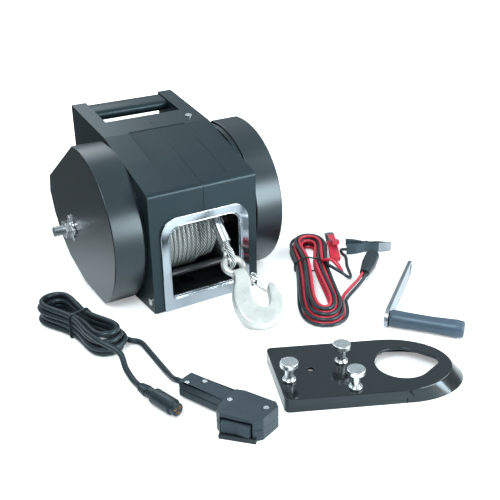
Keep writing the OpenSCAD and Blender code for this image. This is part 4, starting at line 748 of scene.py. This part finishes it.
def carrying_bar():
    """Grip with a thinner section, so that daylight shows under it through the hand hole."""
    thinner_mm = 6.5
    piece = dress("carry_handle", 1.0)
    heights = [v.co.z for v in piece.data.vertices]
    middle = (min(heights) + max(heights)) / 2
    for v in piece.data.vertices:
        if v.co.z < middle:
            v.co.z += thinner_mm * mm


# Hook: a forging without flat edges, and its wire latch
def forged_hook():
    piece = merged_copy("hook")
    remesh = piece.modifiers.new("skin", "REMESH")
    remesh.mode = "VOXEL"
    remesh.voxel_size = 0.9 * mm
    smooth = piece.modifiers.new("forging", "SMOOTH")
    smooth.factor = 0.5
    smooth.iterations = 22
    bpy.context.view_layer.update()
    seen = piece.evaluated_get(bpy.context.evaluated_depsgraph_get())
    mesh = bpy.data.meshes.new_from_object(seen)
    piece.modifiers.clear()
    piece.data = mesh
    for face in mesh.polygons:
        face.use_smooth = True
    coat_piece(piece, "hook_zinc")
    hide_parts("hook")
    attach(piece, "hook")


def hook_place(across, down, through):
    """Point of the hook's own plane in the object's frame, in mm."""
    lean = math.radians(62)
    x, y, z = LOOP_MIDDLE
    return [x + across, y - down * math.sin(lean) + through * math.cos(lean),
            z - down * math.cos(lean) - through * math.sin(lean)]


def wire_latch():
    """Spring wire: a coil round the pin with a leg on each side to the tip."""
    wire_r, coil_r, sides = 0.85, 3.1, 8
    coil_inside, coil_climb, coil_end = 2.9, 0.0046, 420
    pin, toward = (12.96, 31.02), math.radians(77)
    ahead = (math.cos(toward), math.sin(toward))

    def local(along, over, through):
        across = pin[0] + along * ahead[0] - over * ahead[1]
        down = pin[1] + along * ahead[1] + over * ahead[0]
        return hook_place(across, down, through)

    line = []
    for side in (-1, 1):
        leg = [local(21, 0, side * 0.9), local(17, 0, side * 1.9), local(9, 0.3, side * 4.3)]
        coil = []
        for degrees in range(60, coil_end + 1, 20):
            a = math.radians(degrees)
            out = coil_inside + coil_climb * (coil_end - degrees)
            coil.append(local(coil_r * math.cos(a), coil_r * math.sin(a), side * out))
        part = spline(leg, 6).tolist() + coil
        line += part[::-1] if side < 0 else [local(22, 0, 0)] + part
    piece = tube_piece("latch_wire", line, wire_r, sides, "zinc_plate")
    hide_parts("hook_latch")
    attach(piece, "latch")


# Edge radii in mm of the pieces that stand for the CAD nodes
EDGES = {
    "left_housing": 0.45, "right_housing": 0.45, "left_cover": 1.2, "right_cover": 1.2,
    "winch_frame": 0.5, "tie_rods": 0.4, "drum": 0.4, "star_washer": 0.15, "clutch_nut": 0.5,
    "clutch_shaft": 0.3, "rope_thimble": 0.2, "handset_base": 1.2, "handset_lid": 1.2, "latch_pin": 0.3,
    "rocker_switch": 0.7, "handset_clip": 0.3, "remote_plug": 0.6, "lead_plug": 0.6,
    "red_clamp_lower": 0.3, "red_clamp_upper": 0.3, "black_clamp_lower": 0.3, "black_clamp_upper": 0.3,
    "crank_arm": 0.3, "crank_grip": 1.0, "hitch_plate": 0.8, "hitch_studs": 0.8, "case_screws": 0.2,
}

# Nodes whose visible piece is made by a function of its own
SHAPED = ("hook", "hook_latch", "rope_ferrule", "fairlead_plate", "carry_handle", "remote_tie", "lead_tie")


def pieces():
    """The housings' flat panels are shaded flat, and the other pieces are smooth up to the edge angle."""
    for node, radius in EDGES.items():
        dress(node, radius, smooth=4 if "housing" in node else EDGE_ANGLE)


def inner_pieces():
    """Nodes that keep their CAD mesh and take a finish."""
    for node, held in nodes.items():
        if node in EDGES or node in SHAPED:
            continue
        held.data.materials.clear()
        held.data.materials.append(materials[slot_of_node[node]])


# Stage
def make_floor():
    """Pale table that fades out of the reflections away from the set, with a painted shadow under the winch:
    there it is near black and has no glow.
    """
    under_y, set_middle = -0.033, (0.03, -0.16, 0)
    bpy.ops.mesh.primitive_plane_add(size=12, location=(0, 0, -0.0002))
    floor = bpy.context.object
    floor.name = "floor"
    made, tree = new_material("pale_floor")
    place = add(tree, "TexCoord").outputs["Object"]
    ray = add(tree, "LightPath")
    across = add(tree, "SeparateXYZ", Vector=place)
    beside = add(tree, "Math", {"operation": "ABSOLUTE"}, i0=across.outputs["X"])
    along = add(tree, "Math", {"operation": "ADD"}, i0=across.outputs["Y"], i1=-under_y)
    beyond = add(tree, "Math", {"operation": "ABSOLUTE"}, i0=along.outputs[0])
    # Painted shadow: these masks are 0 under the winch's footprint, where the floor is painted near black and
    # its glow is off, and 1 outside it
    outside_painted_shadow_x = add(tree, "MapRange", Value=beside.outputs[0], From_Min=0.058, From_Max=0.066)
    outside_painted_shadow_y = add(tree, "MapRange", Value=beyond.outputs[0], From_Min=0.066, From_Max=0.072)
    free = add(tree, "Math", {"operation": "MAXIMUM"}, i0=outside_painted_shadow_x.outputs[0], i1=outside_painted_shadow_y.outputs[0])
    from_set = add(tree, "VectorMath", {"operation": "DISTANCE"}, i0=place, i1=set_middle)
    fade = add(tree, "MapRange", Value=from_set.outputs["Value"], From_Min=0.23, From_Max=0.42,
               To_Min=1.0, To_Max=0.12)
    mirrored = add(tree, "Mix", {"data_type": "FLOAT"}, i0=ray.outputs["Is Glossy Ray"], i2=1.0,
                   i3=fade.outputs[0])
    glow = add(tree, "Math", {"operation": "MULTIPLY"}, i0=ray.outputs["Is Camera Ray"], i1=free.outputs[0])
    far = add(tree, "MapRange", Value=from_set.outputs["Value"], From_Min=0.35, From_Max=1.2,
              To_Min=0.3, To_Max=1.2)
    lit = add(tree, "Math", {"operation": "MULTIPLY"}, i0=glow.outputs[0], i1=far.outputs[0])
    shown = add(tree, "Math", {"operation": "MULTIPLY"}, i0=mirrored.outputs[0], i1=free.outputs[0])
    # Near black under the winch as painted shadow, and where the floor fades out of the reflections; pale
    # elsewhere
    tint = add(tree, "Mix", {"data_type": "RGBA"}, i0=shown.outputs[0], i6=linear("#0b0a0a"),
               i7=linear("#f4f6f7"))
    shader = add(tree, "BsdfPrincipled", Base_Color=tint.outputs[2], Roughness=0.9, Specular_IOR_Level=0.1,
                 Emission_Color=(1, 1, 1, 1), Emission_Strength=lit.outputs[0])
    floor.data.materials.append(finish_material(made, shader))


def make_world():
    """Dark room with a wide overhead light for the object, and white for the camera."""
    world = bpy.data.worlds.new("studio")
    bpy.context.scene.world = world
    world.use_nodes = True
    tree = world.node_tree
    tree.nodes.clear()
    ray = add(tree, "LightPath")
    way = add(tree, "TexCoord").outputs["Generated"]
    height = add(tree, "SeparateXYZ", Vector=way)
    overhead = add(tree, "MapRange", {"interpolation_type": "SMOOTHSTEP"}, Value=height.outputs["Z"],
                   From_Min=0.1, From_Max=0.95, To_Min=0.3, To_Max=0.95)
    seen = ray.outputs["Is Camera Ray"]
    strength = add(tree, "Mix", {"data_type": "FLOAT"}, i0=seen, i2=overhead.outputs[0], i3=1.0)
    tint = add(tree, "Mix", {"data_type": "RGBA"}, i0=seen, i6=linear("#e6f7ff"), i7=(1, 1, 1, 1))
    back = add(tree, "Background", Color=tint.outputs[2], Strength=strength.outputs[0])
    out = add(tree, "OutputWorld")
    tree.links.new(back.outputs[0], out.inputs["Surface"])


def make_lights():
    aim = Vector((0, -0.05, 0.06))
    cool_white = (0.93, 0.985, 1.0)
    for name, place, size, power in (
        ("key_light", (-0.75, -0.85, 1.35), 0.7, 20),
        ("side_light", (1.2, -0.5, 0.9), 0.6, 8),
        ("front_light", (0.5, -1.0, 0.22), 0.5, 12),
        ("back_light", (0.1, 1.1, 1.3), 0.9, 7),
    ):
        data = bpy.data.lights.new(name, "AREA")
        data.shape = "SQUARE"
        data.size = size
        data.energy = power
        data.color = cool_white
        lamp = bpy.data.objects.new(name, data)
        lamp.location = place
        lamp.rotation_euler = (aim - Vector(place)).to_track_quat("-Z", "Y").to_euler()
        bpy.context.scene.collection.objects.link(lamp)
    bpy.context.scene.view_settings.view_transform = "Standard"


make_camera()
pieces()
ties()
remote_cord()
battery_lead()
wound_rope()
rope_below()
lead_rope()
loop_sleeve()
plug_details()
metal_jaws()
fairlead()
carrying_bar()
forged_hook()
wire_latch()
inner_pieces()
make_floor()
make_world()
make_lights()
